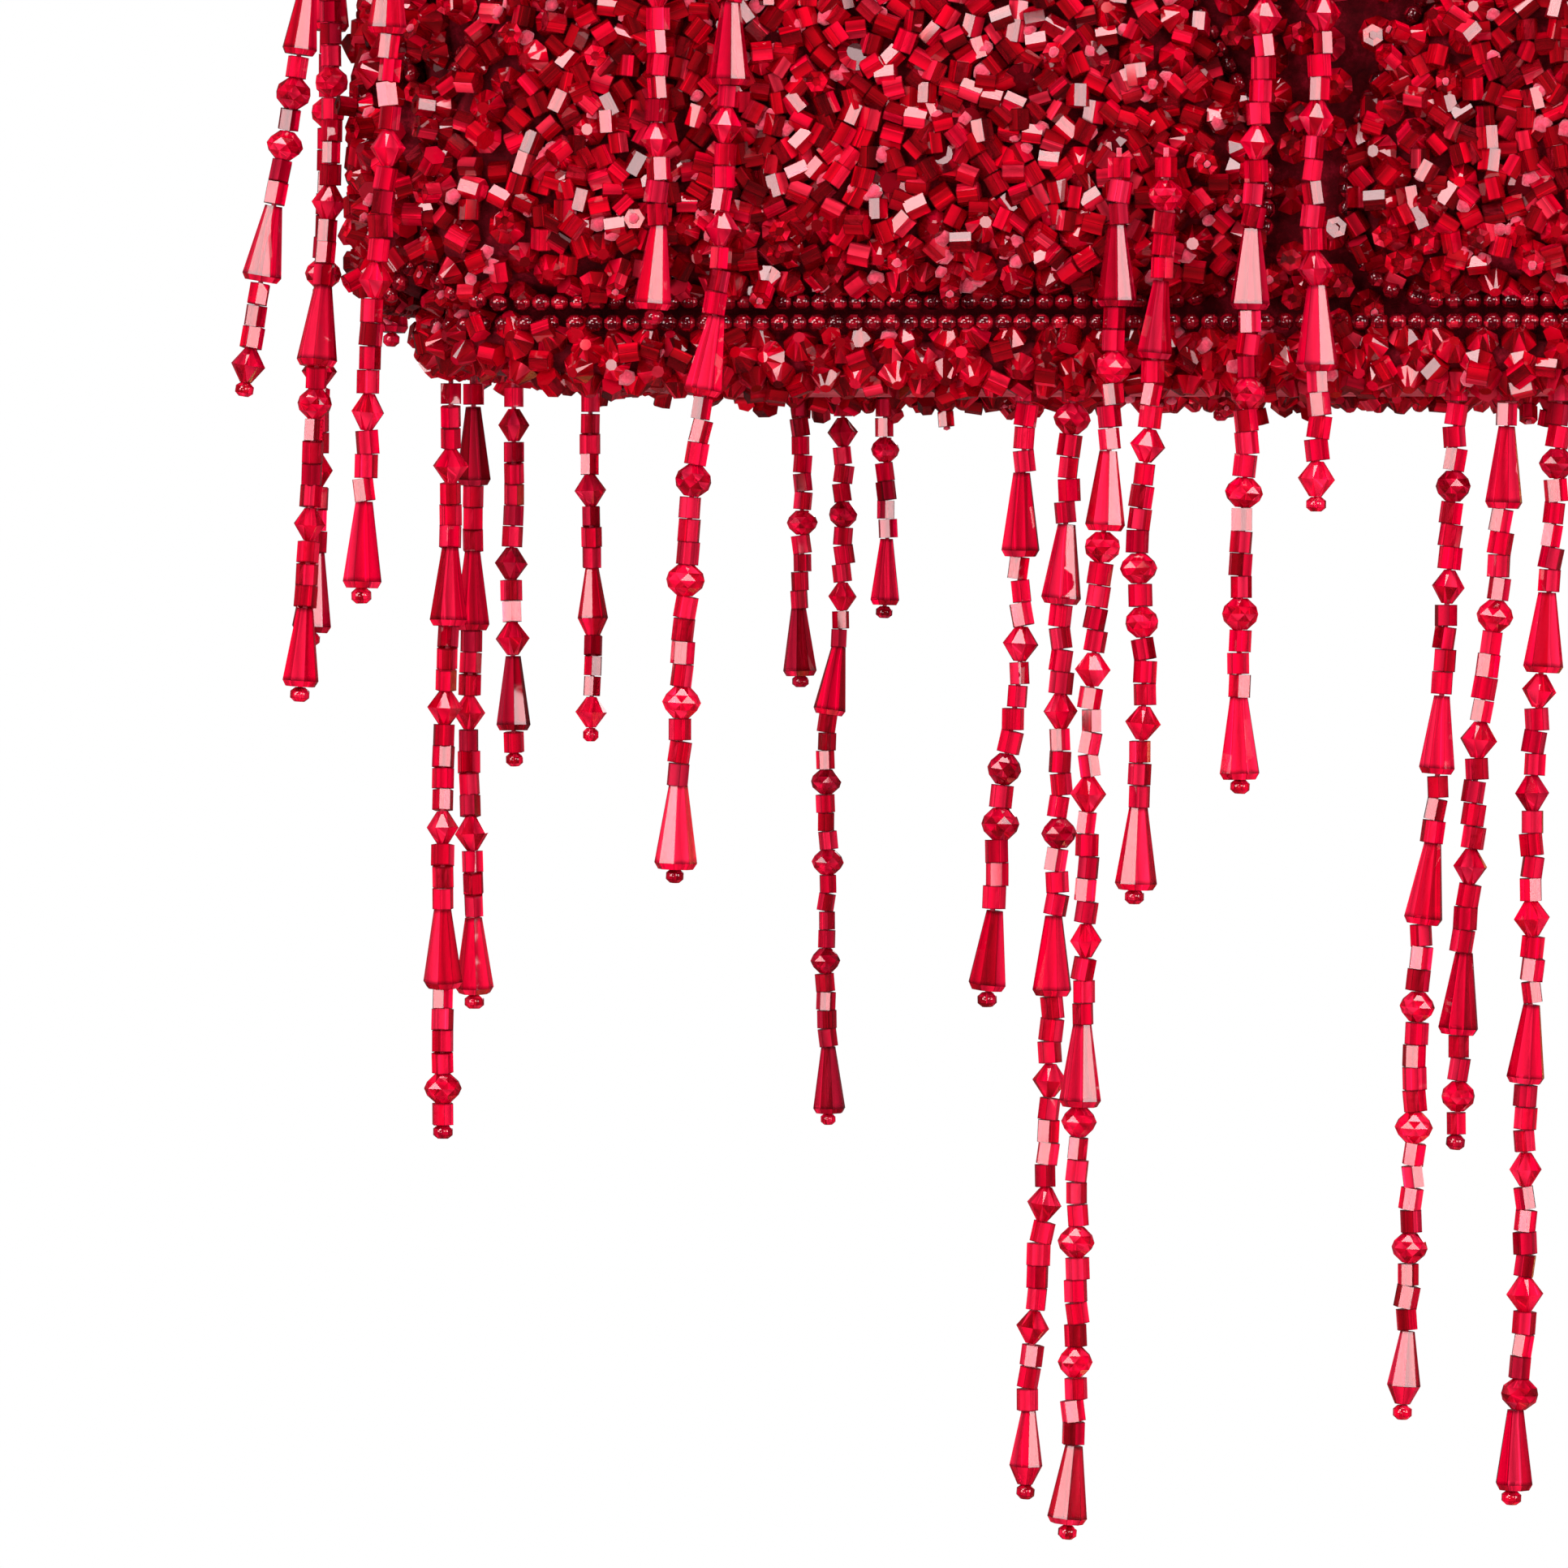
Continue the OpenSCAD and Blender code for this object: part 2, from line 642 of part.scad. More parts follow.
RIM_BACK = [[-126, 35, 0, 0], [-120.5, 92, -2, 0], [-115, 26, 0, 0], [-21, 110, 1, 0],
    [-15, 66, 0, 0], [17, 128, 2, 0], [24, 94, 2, 0], [46, 42, 0, 0], [72, 58, 0, 0],
    [78, 116, 1, 0], [102, 30, 0, 0], [107, 99, 0, 0], [130, 76, 0, 0]];
RIM_LEFT = [[-80, 81, 1, -1.5], [-73, 67, 0, 0], [-41, 41, 0, 0], [26, 40, 0, 0]];
LOW_FRONT = [[-69.5, 145, -5.5, 0], [-64.5, 77, -3.5, 0], [66, 92, 3, 0], [71.5, 130, 4, 0]];
LOW_BACK = [[-72, 24, 0, 0], [-7, 120, 0, 0], [54, 66, 0, 0]];
SHOULDER_FRONT = [[-147.5, 109, -4, 4], [-118.5, 79, -1, 0], [-109, 139, -8, 0],
    [-54, 129, -2.5, 0], [-49.5, 99, 1, 0], [-44, 87, -1.5, 0], [16, 70, 0, 0],
    [45, 118, 1, 0], [50, 74, 0, 0], [55.5, 150, 2, 0], [113, 96, 1, 0], [119, 126, 2, 0],
    [147.5, 121, 4, 4]];
SHOULDER_RIGHT = [[-94, 92, 9, 3.6], [-84, 113, 1, 0], [-77, 84, 0, 0], [18, 108, 0, 0],
    [24, 66, 0, 0], [72, 132, 0, 0], [94, 82, 9, 3.6]];
SHOULDER_BACK = [[-147.5, 82, -4, 4], [-98, 84, 0, 0], [-92, 68, 0, 0], [-53, 83, 0, 0],
    [-47, 60, 0, 0], [1, 86, 0, 0], [30, 120, 0, 0], [64, 92, 0, 0], [94, 140, 0, 0],
    [119, 74, 0, 0], [147.5, 110, 4, 4]];
SHOULDER_LEFT = [[-94, 87, 9, 3.6], [-84, 120, 1, 0], [-77, 114, 1, 0], [-24, 80, 0, 0],
    [-30, 66, 0, 0], [72, 84, 0, 0], [94, 80, 9, 3.6]];

// A strand hanging from the origin: a run of cut beads, a cone bead and its stop bead
module strand(length) {
    translate([0, 0, -length]) {
        cylinder(r = 0.8, h = 1.6, $fn = 24);
        translate([0, 0, 1.6]) cylinder(r1 = cone_r, r2 = strand_r, h = cone_l, $fn = 24);
        translate([0, 0, 1.6 + cone_l]) cylinder(r = strand_r, h = length - cone_l - 1.6, $fn = 24);
    }
}

// One curtain of strands in front of a wall
module curtain(side, strands, out, z) {
    way = side == "front" || side == "left" ? -1 : 1;
    long = side == "front" || side == "back";
    color(bead_red)
        for (one = strands) {
            reach = way * ((long ? field_y : field_x) + out - one[3]);
            lean = asin(one[2] / one[1]) * (long ? 1 : way);
            translate(long ? [one[0], reach, z] : [reach, one[0], z])
                rotate([0, -lean, 0]) strand(one[1]);
        }
}

// ---------- the lamp ----------

felt_pad();
foot();
ballast();
rod_washer();
rod_nut();
lamp_rod();
cord_bushing();
lower_collar();
urn_core();
upper_collar();
stem();
check_ring();
harp_saddle();
saddle_posts();
harp();
harp_stud();
ferrule(-1);  // ferrule_left
ferrule(1);  // ferrule_right
socket_cap();
socket_shell();
socket_liner();
socket_core();
screw_shell();
centre_contact();
switch_shaft();
switch_knob();
bulb_cap();
bulb_glass();
finial();
spider();
frame_rings();
frame_ribs();
lining();
wall_cloth();
dome_cloth();
rim_band();
shoulder_band();
crown_band();
piping();
for (k = [0 : len(PANELS) - 1])
    arch_panel(PANELS[k][0], PANELS[k][1]);
curtain("front", RIM_FRONT_LEFT, rim_line, rim_hang);  // rim_fringe_front_left
curtain("front", RIM_FRONT_MIDDLE, rim_line, rim_hang);  // rim_fringe_front_middle
curtain("front", RIM_FRONT_RIGHT, rim_line, rim_hang);  // rim_fringe_front_right
curtain("right", RIM_RIGHT, rim_line - hem_tuck, rim_hang);  // rim_fringe_right
curtain("back", RIM_BACK, rim_line, rim_hang);  // rim_fringe_back
curtain("left", RIM_LEFT, rim_line - hem_tuck, rim_hang);  // rim_fringe_left
curtain("front", LOW_FRONT, face_line, low_hang);  // low_fringe_front
curtain("back", LOW_BACK, face_line, low_hang);  // low_fringe_back
curtain("front", SHOULDER_FRONT, shoulder_line, shoulder_hang);  // shoulder_fringe_front
curtain("right", SHOULDER_RIGHT, shoulder_line, shoulder_hang);  // shoulder_fringe_right
curtain("back", SHOULDER_BACK, shoulder_line, shoulder_hang);  // shoulder_fringe_back
curtain("left", SHOULDER_LEFT, shoulder_line, shoulder_hang);  // shoulder_fringe_left
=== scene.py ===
"""Looks for a table lamp whose oblong shade is sewn all over with red cut glass beads.

Lengths in this file are millimetres unless a name says otherwise; meshes are written in metres.
"""

import json
import math
import random

import bmesh
import bpy
import numpy as np
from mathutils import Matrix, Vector, noise

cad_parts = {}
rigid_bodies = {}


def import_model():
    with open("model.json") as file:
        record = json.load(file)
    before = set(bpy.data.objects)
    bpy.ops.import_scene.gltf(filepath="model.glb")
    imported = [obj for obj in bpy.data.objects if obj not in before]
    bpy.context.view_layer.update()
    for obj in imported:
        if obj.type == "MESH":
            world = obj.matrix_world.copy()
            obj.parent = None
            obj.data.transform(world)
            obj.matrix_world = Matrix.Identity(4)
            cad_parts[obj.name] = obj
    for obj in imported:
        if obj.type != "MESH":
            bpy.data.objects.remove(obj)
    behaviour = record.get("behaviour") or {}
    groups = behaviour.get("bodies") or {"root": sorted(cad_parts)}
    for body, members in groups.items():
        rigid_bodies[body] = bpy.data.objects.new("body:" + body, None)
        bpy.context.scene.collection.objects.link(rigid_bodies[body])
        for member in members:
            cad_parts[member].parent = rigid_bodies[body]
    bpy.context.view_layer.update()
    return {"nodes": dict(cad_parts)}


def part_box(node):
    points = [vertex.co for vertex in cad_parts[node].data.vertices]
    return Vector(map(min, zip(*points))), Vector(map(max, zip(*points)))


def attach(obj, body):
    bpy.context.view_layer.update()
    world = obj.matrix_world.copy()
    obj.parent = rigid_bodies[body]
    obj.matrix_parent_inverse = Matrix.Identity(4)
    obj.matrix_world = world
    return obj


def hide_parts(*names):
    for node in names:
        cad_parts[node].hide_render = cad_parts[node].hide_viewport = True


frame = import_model()
MM = 0.001
UP = np.array([0.0, 0.0, 1.0])


def box_mm(node):
    """A node's lowest and highest corners in millimetres."""
    low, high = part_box(node)
    return np.array(low) / MM, np.array(high) / MM


# ---------- sizes read from the frame ----------

WALL_HIGH = box_mm("wall_cloth")[1]
FIELD_X, FIELD_Y = WALL_HIGH[0], WALL_HIGH[1]
CORNER_R = 14.0
RIM_LOW, RIM_HIGH = box_mm("rim_band")
RIM_Z = RIM_LOW[2]
RIM_R = (RIM_HIGH[2] - RIM_LOW[2]) / 2
RIM_OUT = RIM_HIGH[1] - RIM_R - FIELD_Y
RIM_X = RIM_HIGH[0] - RIM_R - RIM_OUT
# The wall's hem starts to draw in at this height above the rim, at the two short sides
HEM_H = 20.0
HEM_TOP = RIM_Z + HEM_H
HEM_FOOT = RIM_HIGH[2] + 0.2
SHOULDER_LOW, SHOULDER_HIGH = box_mm("shoulder_band")
SHOULDER_R = (SHOULDER_HIGH[2] - SHOULDER_LOW[2]) / 2
SHOULDER_Z = (SHOULDER_HIGH[2] + SHOULDER_LOW[2]) / 2
CROWN_LOW, CROWN_HIGH = box_mm("crown_band")
CROWN_BAND_R = (CROWN_HIGH[2] - CROWN_LOW[2]) / 2
CROWN_OUT = 2.0
CROWN_X = CROWN_HIGH[0] - CROWN_BAND_R - CROWN_OUT
CROWN_Y = CROWN_HIGH[1] - CROWN_BAND_R - CROWN_OUT
CROWN_R = 34.0
TOP_Z = box_mm("dome_cloth")[1][2]
PANEL_LOW, PANEL_HIGH = box_mm("panel_front_middle")
PANEL_W = PANEL_HIGH[0] - PANEL_LOW[0]
PANEL_H = PANEL_HIGH[2] - PANEL_LOW[2]
PUFF = -PANEL_LOW[1] - FIELD_Y
PANEL_Z = PANEL_LOW[2]

# The arch of a panel: rounded lower corners, short upright sides, then a pointed curve
ARCH_FOOT_R = 9.0
ARCH_SPRING = 14.0
ARCH_BEND = 1.3
ARCH_POINT = 0.9

# Cloth, wadding and beads, through the depth of a panel
BEAD_LIE = 1.1
PAD_DEPTH = PUFF - 1.5
PAD_SHOULDER = 1.8

# Covers and lining: how thick, how far in from the wall, how far the lining clears the rim
COVER_THICK = 0.8
LINING_THICK = 0.3
LINING_IN = 5.3
LINING_LOW = 2.0
LINING_HEM = HEM_FOOT + 4.9


# ---------- camera, light and floor ----------

def unit(v):
    return v / max(np.linalg.norm(v), 1e-9)


def add_camera():
    """A long lens in front of the lamp's axis, turned to the shade's lower left corner."""
    data = bpy.data.cameras.new("camera")
    camera = bpy.data.objects.new("camera", data)
    bpy.context.scene.collection.objects.link(camera)
    front = -FIELD_Y - PUFF
    place = np.array([0.0, front - 957.0, RIM_Z - 9.6])
    aim = np.array([-105.6, front, RIM_Z - 41.4])
    camera.location = Vector(place * MM)
    camera.rotation_euler = Vector(aim - place).to_track_quat("-Z", "Y").to_euler()
    data.sensor_width = 36.0
    data.lens = 206.4
    bpy.context.scene.camera = camera


def add_softbox(name, place, aim, width, height, radiance):
    """A rectangular soft light, with the brightness that its face shows."""
    data = bpy.data.lights.new(name, "AREA")
    data.shape = "RECTANGLE"
    data.size = width
    data.size_y = height
    data.energy = radiance * math.pi * width * height
    light = bpy.data.objects.new(name, data)
    light.location = place
    light.rotation_euler = (Vector(aim) - Vector(place)).to_track_quat("-Z", "Y").to_euler()
    bpy.context.scene.collection.objects.link(light)


def add_studio():
    """White surroundings that mirrors see as dark, and softboxes that the facets throw back."""
    scene = bpy.context.scene
    scene.view_settings.view_transform = "Standard"
    world = bpy.data.worlds.new("studio")
    scene.world = world
    world.cycles.sampling_method = "NONE"
    world.use_nodes = True
    nodes, links = world.node_tree.nodes, world.node_tree.links
    nodes.clear()
    out = nodes.new("ShaderNodeOutputWorld")
    back = nodes.new("ShaderNodeBackground")
    back.inputs["Color"].default_value = (1.0, 1.0, 1.0, 1.0)
    paths = nodes.new("ShaderNodeLightPath")

    def mix(kind, first, second, third=None):
        node = nodes.new("ShaderNodeMath")
        node.operation = kind
        for socket, value in zip(node.inputs, (first, second, third)):
            if isinstance(value, float):
                socket.default_value = value
            elif value is not None:
                links.new(value, socket)
        return node.outputs[0]

    seen = mix("MAXIMUM", paths.outputs["Is Camera Ray"], paths.outputs["Is Transmission Ray"])
    mirrored = mix("MULTIPLY", paths.outputs["Is Glossy Ray"], 0.05)
    lit = mix("MULTIPLY_ADD", paths.outputs["Is Diffuse Ray"], 0.6, mirrored)
    links.new(mix("MAXIMUM", seen, lit), back.inputs["Strength"])
    links.new(back.outputs["Background"], out.inputs["Surface"])
    aim = (0, 0, 0.3)
    add_softbox("key", (-0.9, -1.5, 1.35), aim, 0.8, 0.65, 11.0)
    add_softbox("front", (0.75, -1.8, 0.75), aim, 0.6, 0.7, 8.0)
    add_softbox("overhead", (0.0, -0.5, 1.7), aim, 0.95, 0.55, 9.0)
    add_softbox("low front", (-0.5, -1.9, 0.1), aim, 0.5, 0.3, 8.0)
    add_softbox("left side", (-1.35, -1.25, 0.55), aim, 0.7, 0.8, 8.0)
    add_softbox("right side", (1.5, -1.0, 0.55), aim, 0.65, 0.8, 8.0)
    add_softbox("rear", (0.4, 2.0, 1.0), aim, 1.2, 1.0, 3.5)


def add_floor(material):
    """A pale round floor, out of the long lens; facets that face down don't mirror it."""
    mesh = bpy.data.meshes.new("floor")
    shape = bmesh.new()
    bmesh.ops.create_circle(shape, cap_ends=True, segments=96, radius=0.95)
    shape.to_mesh(mesh)
    shape.free()
    mesh.materials.append(material)
    floor = bpy.data.objects.new("floor", mesh)
    floor.visible_glossy = False
    bpy.context.scene.collection.objects.link(floor)


# ---------- materials ----------

def new_material(name, **sockets):
    """A Principled material with plain values on its own sockets."""
    material = bpy.data.materials.new(name)
    material.use_nodes = True
    shader = material.node_tree.nodes["Principled BSDF"]
    for key, value in sockets.items():
        socket = shader.inputs[key.replace("_", " ")]
        if hasattr(value, "__len__"):
            value = (*value, 1.0)[:4]
        socket.default_value = value
    return material


def grey_stops(*pairs):
    """Ramp stops in plain grey, from (place, strength) pairs."""
    return [(place, (strength,) * 3) for place, strength in pairs]


class Nodes:
    """Short names for building one material's nodes."""

    def __init__(self, material):
        self.tree = material.node_tree
        self.shader = self.tree.nodes["Principled BSDF"]
        self.place = self.tree.nodes.new("ShaderNodeTexCoord").outputs["Object"]

    def add(self, kind, **settings):
        node = self.tree.nodes.new("ShaderNode" + kind)
        for key, value in settings.items():
            setattr(node, key, value)
        return node

    def join(self, a, b):
        self.tree.links.new(a, b)

    def noise(self, scale, detail=3.0, rough=0.55, stretch=None):
        node = self.add("TexNoise")
        node.inputs["Scale"].default_value = scale
        node.inputs["Detail"].default_value = detail
        node.inputs["Roughness"].default_value = rough
        source = self.place
        if stretch is not None:
            mapping = self.add("Mapping")
            mapping.inputs["Scale"].default_value = stretch
            self.join(self.place, mapping.inputs["Vector"])
            source = mapping.outputs["Vector"]
        self.join(source, node.inputs["Vector"])
        return node.outputs["Fac"]

    def ramp(self, value, stops, interpolation="LINEAR"):
        node = self.add("ValToRGB")
        node.color_ramp.interpolation = interpolation
        points = node.color_ramp.elements
        while len(points) < len(stops):
            points.new(0.5)
        for point, (at, color) in zip(points, stops):
            point.position = at
            point.color = (*color, 1.0)
        self.join(value, node.inputs["Fac"])
        return node.outputs["Color"]

    def level(self, value, low, high):
        node = self.add("MapRange")
        node.inputs["To Min"].default_value = low
        node.inputs["To Max"].default_value = high
        self.join(value, node.inputs["Value"])
        return node.outputs["Result"]

    def math(self, operation, first, second=None):
        node = self.add("Math", operation=operation)
        self.join(first, node.inputs[0])
        if second is not None:
            self.join(second, node.inputs[1])
        return node.outputs[0]

    def attribute(self, name):
        return self.add("Attribute", attribute_name=name).outputs["Fac"]

    def color(self, output):
        self.join(output, self.shader.inputs["Base Color"])

    def rough(self, output):
        self.join(output, self.shader.inputs["Roughness"])

    def bump(self, output, strength, distance):
        node = self.add("Bump")
        node.inputs["Strength"].default_value = strength
        node.inputs["Distance"].default_value = distance
        self.join(output, node.inputs["Height"])
        self.join(node.outputs["Normal"], self.shader.inputs["Normal"])


def cut_glass(name, stops, transmission, ior=1.66, tint=(1.0, 0.74, 0.75)):
    """Clear red glass; each facet gets painted light: random brightness, shading, dark edges, maybe a
    bright line.
    """
    material = new_material(name, Roughness=0.03, IOR=ior, Transmission_Weight=transmission,
                            Specular_Tint=tint)
    n = Nodes(material)
    pair = n.add("CombineXYZ")
    n.join(n.attribute("facet"), pair.inputs["X"])
    n.join(n.attribute("tone"), pair.inputs["Y"])
    scatter = n.add("TexWhiteNoise", noise_dimensions="2D")
    n.join(pair.outputs["Vector"], scatter.inputs["Vector"])
    own = n.add("SeparateColor")
    n.join(scatter.outputs["Color"], own.inputs["Color"])

    middle = n.level(own.outputs["Blue"], 0.5, 0.5)

    def away(place, label="span"):
        return n.math("ABSOLUTE", n.math("SUBTRACT", n.attribute(label), place))

    # Painted light per facet: a painted shade-to-highlight gradient across it, sometimes a painted
    # bright line, painted dark edges across and along it; last a random tone per bead
    painted_light = [n.ramp(away(own.outputs["Green"]), grey_stops((0.0, 0.5), (0.45, 1.0), (1.0, 1.25))),
              n.ramp(away(n.level(own.outputs["Blue"], -0.7, 1.7)),
                     grey_stops((0.0, 2.2), (0.035, 1.8), (0.06, 1.0))),
              n.ramp(away(middle), grey_stops((0.0, 1.0), (0.43, 1.0), (0.49, 0.45))),
              n.ramp(away(middle, "rise"), grey_stops((0.0, 1.0), (0.44, 1.0), (0.49, 0.35))),
              n.ramp(n.attribute("tone"), grey_stops((0.0, 0.55), (0.3, 0.9), (1.0, 1.2)))]
    # Each facet takes a colour at random from the stops, which run from painted shade to painted glint
    color = n.ramp(own.outputs["Red"], stops)
    for shade in painted_light:
        both = n.add("VectorMath", operation="MULTIPLY")
        n.join(color, both.inputs[0])
        n.join(shade, both.inputs[1])
        color = both.outputs["Vector"]
    n.color(color)
    return material


def sewn_cloth(name, dark, light, thread):
    """Felted cloth with short sewing threads lying over it."""
    material = new_material(name, Roughness=0.9, Specular_IOR_Level=0.1, Sheen_Weight=0.12,
                            Sheen_Roughness=0.4, Sheen_Tint=thread)
    n = Nodes(material)
    fuzz = n.noise(900.0, 5.0, 0.7)
    n.color(n.ramp(n.noise(260.0, 6.0, 0.75), [(0.3, dark), (0.52, light), (0.72, thread)]))
    n.bump(fuzz, 0.8, 0.0006)
    return material


def fuzzy_thread():
    material = new_material("sewing_thread", Roughness=0.85, Sheen_Weight=0.8,
                            Sheen_Roughness=0.4, Sheen_Tint=(1.0, 0.45, 0.5))
    n = Nodes(material)
    n.color(n.ramp(n.noise(1400.0, 4.0, 0.7), [(0.3, (0.38, 0.006, 0.03)), (0.65, (0.78, 0.05, 0.11))]))
    n.bump(n.noise(3200.0, 3.0, 0.8), 0.9, 0.0003)
    return material


def woven_lining():
    material = new_material("satin_lining", Roughness=0.48, Sheen_Weight=0.35,
                            Sheen_Roughness=0.3, Sheen_Tint=(1.0, 0.6, 0.6))
    n = Nodes(material)
    across = n.noise(420.0, 2.0, 0.5, (1.0, 1.0, 9.0))
    n.color(n.ramp(across, [(0.3, (0.30, 0.015, 0.03)), (0.7, (0.52, 0.05, 0.07))]))
    n.bump(across, 0.35, 0.0003)
    return material


def turned_brass():
    """Old lacquered brass with the fine rings that a lathe leaves and brown in random patches."""
    material = new_material("aged_brass", Metallic=1.0, Roughness=0.3, IOR=1.45)
    n = Nodes(material)
    patches = n.noise(38.0, 5.0, 0.62)
    rings = n.noise(60.0, 2.0, 0.5, (0.05, 0.05, 30.0))
    n.color(n.ramp(patches, [(0.28, (0.20, 0.105, 0.03)), (0.46, (0.50, 0.31, 0.10)),
                             (0.72, (0.74, 0.52, 0.21))]))
    n.rough(n.level(patches, 0.46, 0.17))
    n.bump(rings, 0.22, 0.0003)
    return material


def plain_metal(name, low, high, rough):
    material = new_material(name, Metallic=1.0, Roughness=rough)
    n = Nodes(material)
    grain = n.noise(120.0, 4.0, 0.6, (1.0, 1.0, 0.15))
    n.color(n.ramp(grain, [(0.3, low), (0.7, high)]))
    n.rough(n.level(grain, rough + 0.12, rough - 0.08))
    n.bump(grain, 0.15, 0.0002)
    return material


def speckled(name, low, high, rough, scale, depth=0.0004, **sockets):
    """A dull moulded, cast or pressed surface with a fine mottle."""
    material = new_material(name, Roughness=rough, **sockets)
    n = Nodes(material)
    spots = n.noise(scale, 5.0, 0.65)
    n.color(n.ramp(spots, [(0.32, low), (0.68, high)]))
    n.bump(spots, 0.5, depth)
    return material


def tile_glass():
    """Glass mosaic pieces: ruby, wine, amber and a few clear ones, each its own tone."""
    material = new_material("mosaic_pieces", Roughness=0.08, IOR=1.52, Transmission_Weight=0.25,
                            Coat_Weight=0.3, Coat_Roughness=0.05)
    n = Nodes(material)
    n.color(n.ramp(n.attribute("tone"), [
        (0.0, (0.16, 0.0, 0.008)), (0.3, (0.42, 0.004, 0.015)), (0.5, (0.62, 0.012, 0.02)),
        (0.7, (0.75, 0.10, 0.02)), (0.85, (0.85, 0.38, 0.05)), (1.0, (0.80, 0.62, 0.35))]))
    n.bump(n.noise(700.0, 2.0), 0.12, 0.0004)
    return material


# Stops for a facet's colour, picked at random: the dark end is painted shade, the bright end painted
# glints of light inside the glass
RUBY = [(0.0, (0.090, 0.0, 0.002)), (0.2, (0.23, 0.0, 0.003)), (0.5, (0.47, 0.0, 0.006)),
        (0.75, (0.76, 0.0, 0.014)), (0.9, (0.92, 0.002, 0.035)), (1.0, (0.95, 0.03, 0.07))]
WINE = [(0.0, (0.035, 0.0, 0.002)), (0.4, (0.13, 0.0, 0.004)), (0.75, (0.34, 0.0, 0.008)),
        (1.0, (0.60, 0.01, 0.03))]
CLEAR_RUBY = [(0.0, (0.25, 0.0, 0.004)), (0.25, (0.60, 0.0, 0.015)), (0.55, (1.0, 0.0, 0.04)),
              (1.0, (1.0, 0.02, 0.08))]

MATERIAL = {
    "panel_beads": cut_glass("ruby_cut_glass", RUBY, 0.4),
    "strand_beads": cut_glass("clear_ruby_glass", CLEAR_RUBY, 0.45),
    "seed_beads": cut_glass("wine_seed_glass", WINE, 0.25),
    "sequins": cut_glass("red_sequins", WINE, 0.45, 1.5),
    "cloth": sewn_cloth("felted_cloth", (0.025, 0.0, 0.001), (0.10, 0.0, 0.004), (0.34, 0.004, 0.02)),
    "thread": fuzzy_thread(),
    "lining": woven_lining(),
    "brass": turned_brass(),
    "steel": plain_metal("drawn_steel", (0.34, 0.34, 0.34), (0.58, 0.58, 0.57), 0.34),
    "iron": speckled("cast_iron", (0.03, 0.03, 0.032), (0.09, 0.09, 0.09), 0.7, 220.0,
                     0.0012, Metallic=0.8),
    "felt": speckled("pressed_felt", (0.05, 0.006, 0.01), (0.15, 0.02, 0.03), 0.95, 500.0,
                     0.001, Sheen_Weight=0.7),
    "rubber": speckled("moulded_rubber", (0.015, 0.01, 0.008), (0.04, 0.03, 0.024), 0.62, 300.0),
    "porcelain": speckled("white_porcelain", (0.70, 0.67, 0.60), (0.86, 0.84, 0.79), 0.35, 90.0,
                          0.0001),
    "board": speckled("liner_board", (0.42, 0.33, 0.21), (0.62, 0.51, 0.36), 0.85, 350.0),
    "knob": speckled("dark_moulded_knob", (0.012, 0.006, 0.004), (0.07, 0.028, 0.014), 0.22,
                     60.0, 0.0001, Coat_Weight=0.4),
    "bulb": speckled("frosted_bulb", (0.86, 0.83, 0.76), (0.95, 0.93, 0.88), 0.42, 800.0,
                     0.0002, Transmission_Weight=0.35),
    "grout": speckled("dark_grout", (0.10, 0.07, 0.06), (0.24, 0.18, 0.15), 0.9, 420.0, 0.0008),
    "tiles": tile_glass(),
    "floor": speckled("pale_floor", (0.80, 0.80, 0.80), (0.86, 0.86, 0.86), 0.6, 6.0, 0.0),
}


# ---------- meshes ----------

def add_piece(name, points, faces, material, smooth=False):
    """A new mesh object at the origin, from points in millimetres."""
    mesh = bpy.data.meshes.new(name)
    mesh.from_pydata((np.asarray(points, dtype=float) * MM).tolist(), [], faces)
    mesh.polygons.foreach_set("use_smooth", [smooth] * len(mesh.polygons))
    mesh.materials.append(material)
    mesh.update()
    piece = bpy.data.objects.new(name, mesh)
    bpy.context.scene.collection.objects.link(piece)
    return piece


def grid_faces(rows, columns, closed):
    """Quads between rows of points; closed joins the last column to the first."""
    faces = []
    for i in range(rows - 1):
        for j in range(columns if closed else columns - 1):
            k = (j + 1) % columns
            faces.append((i * columns + j, i * columns + k,
                          (i + 1) * columns + k, (i + 1) * columns + j))
    return faces


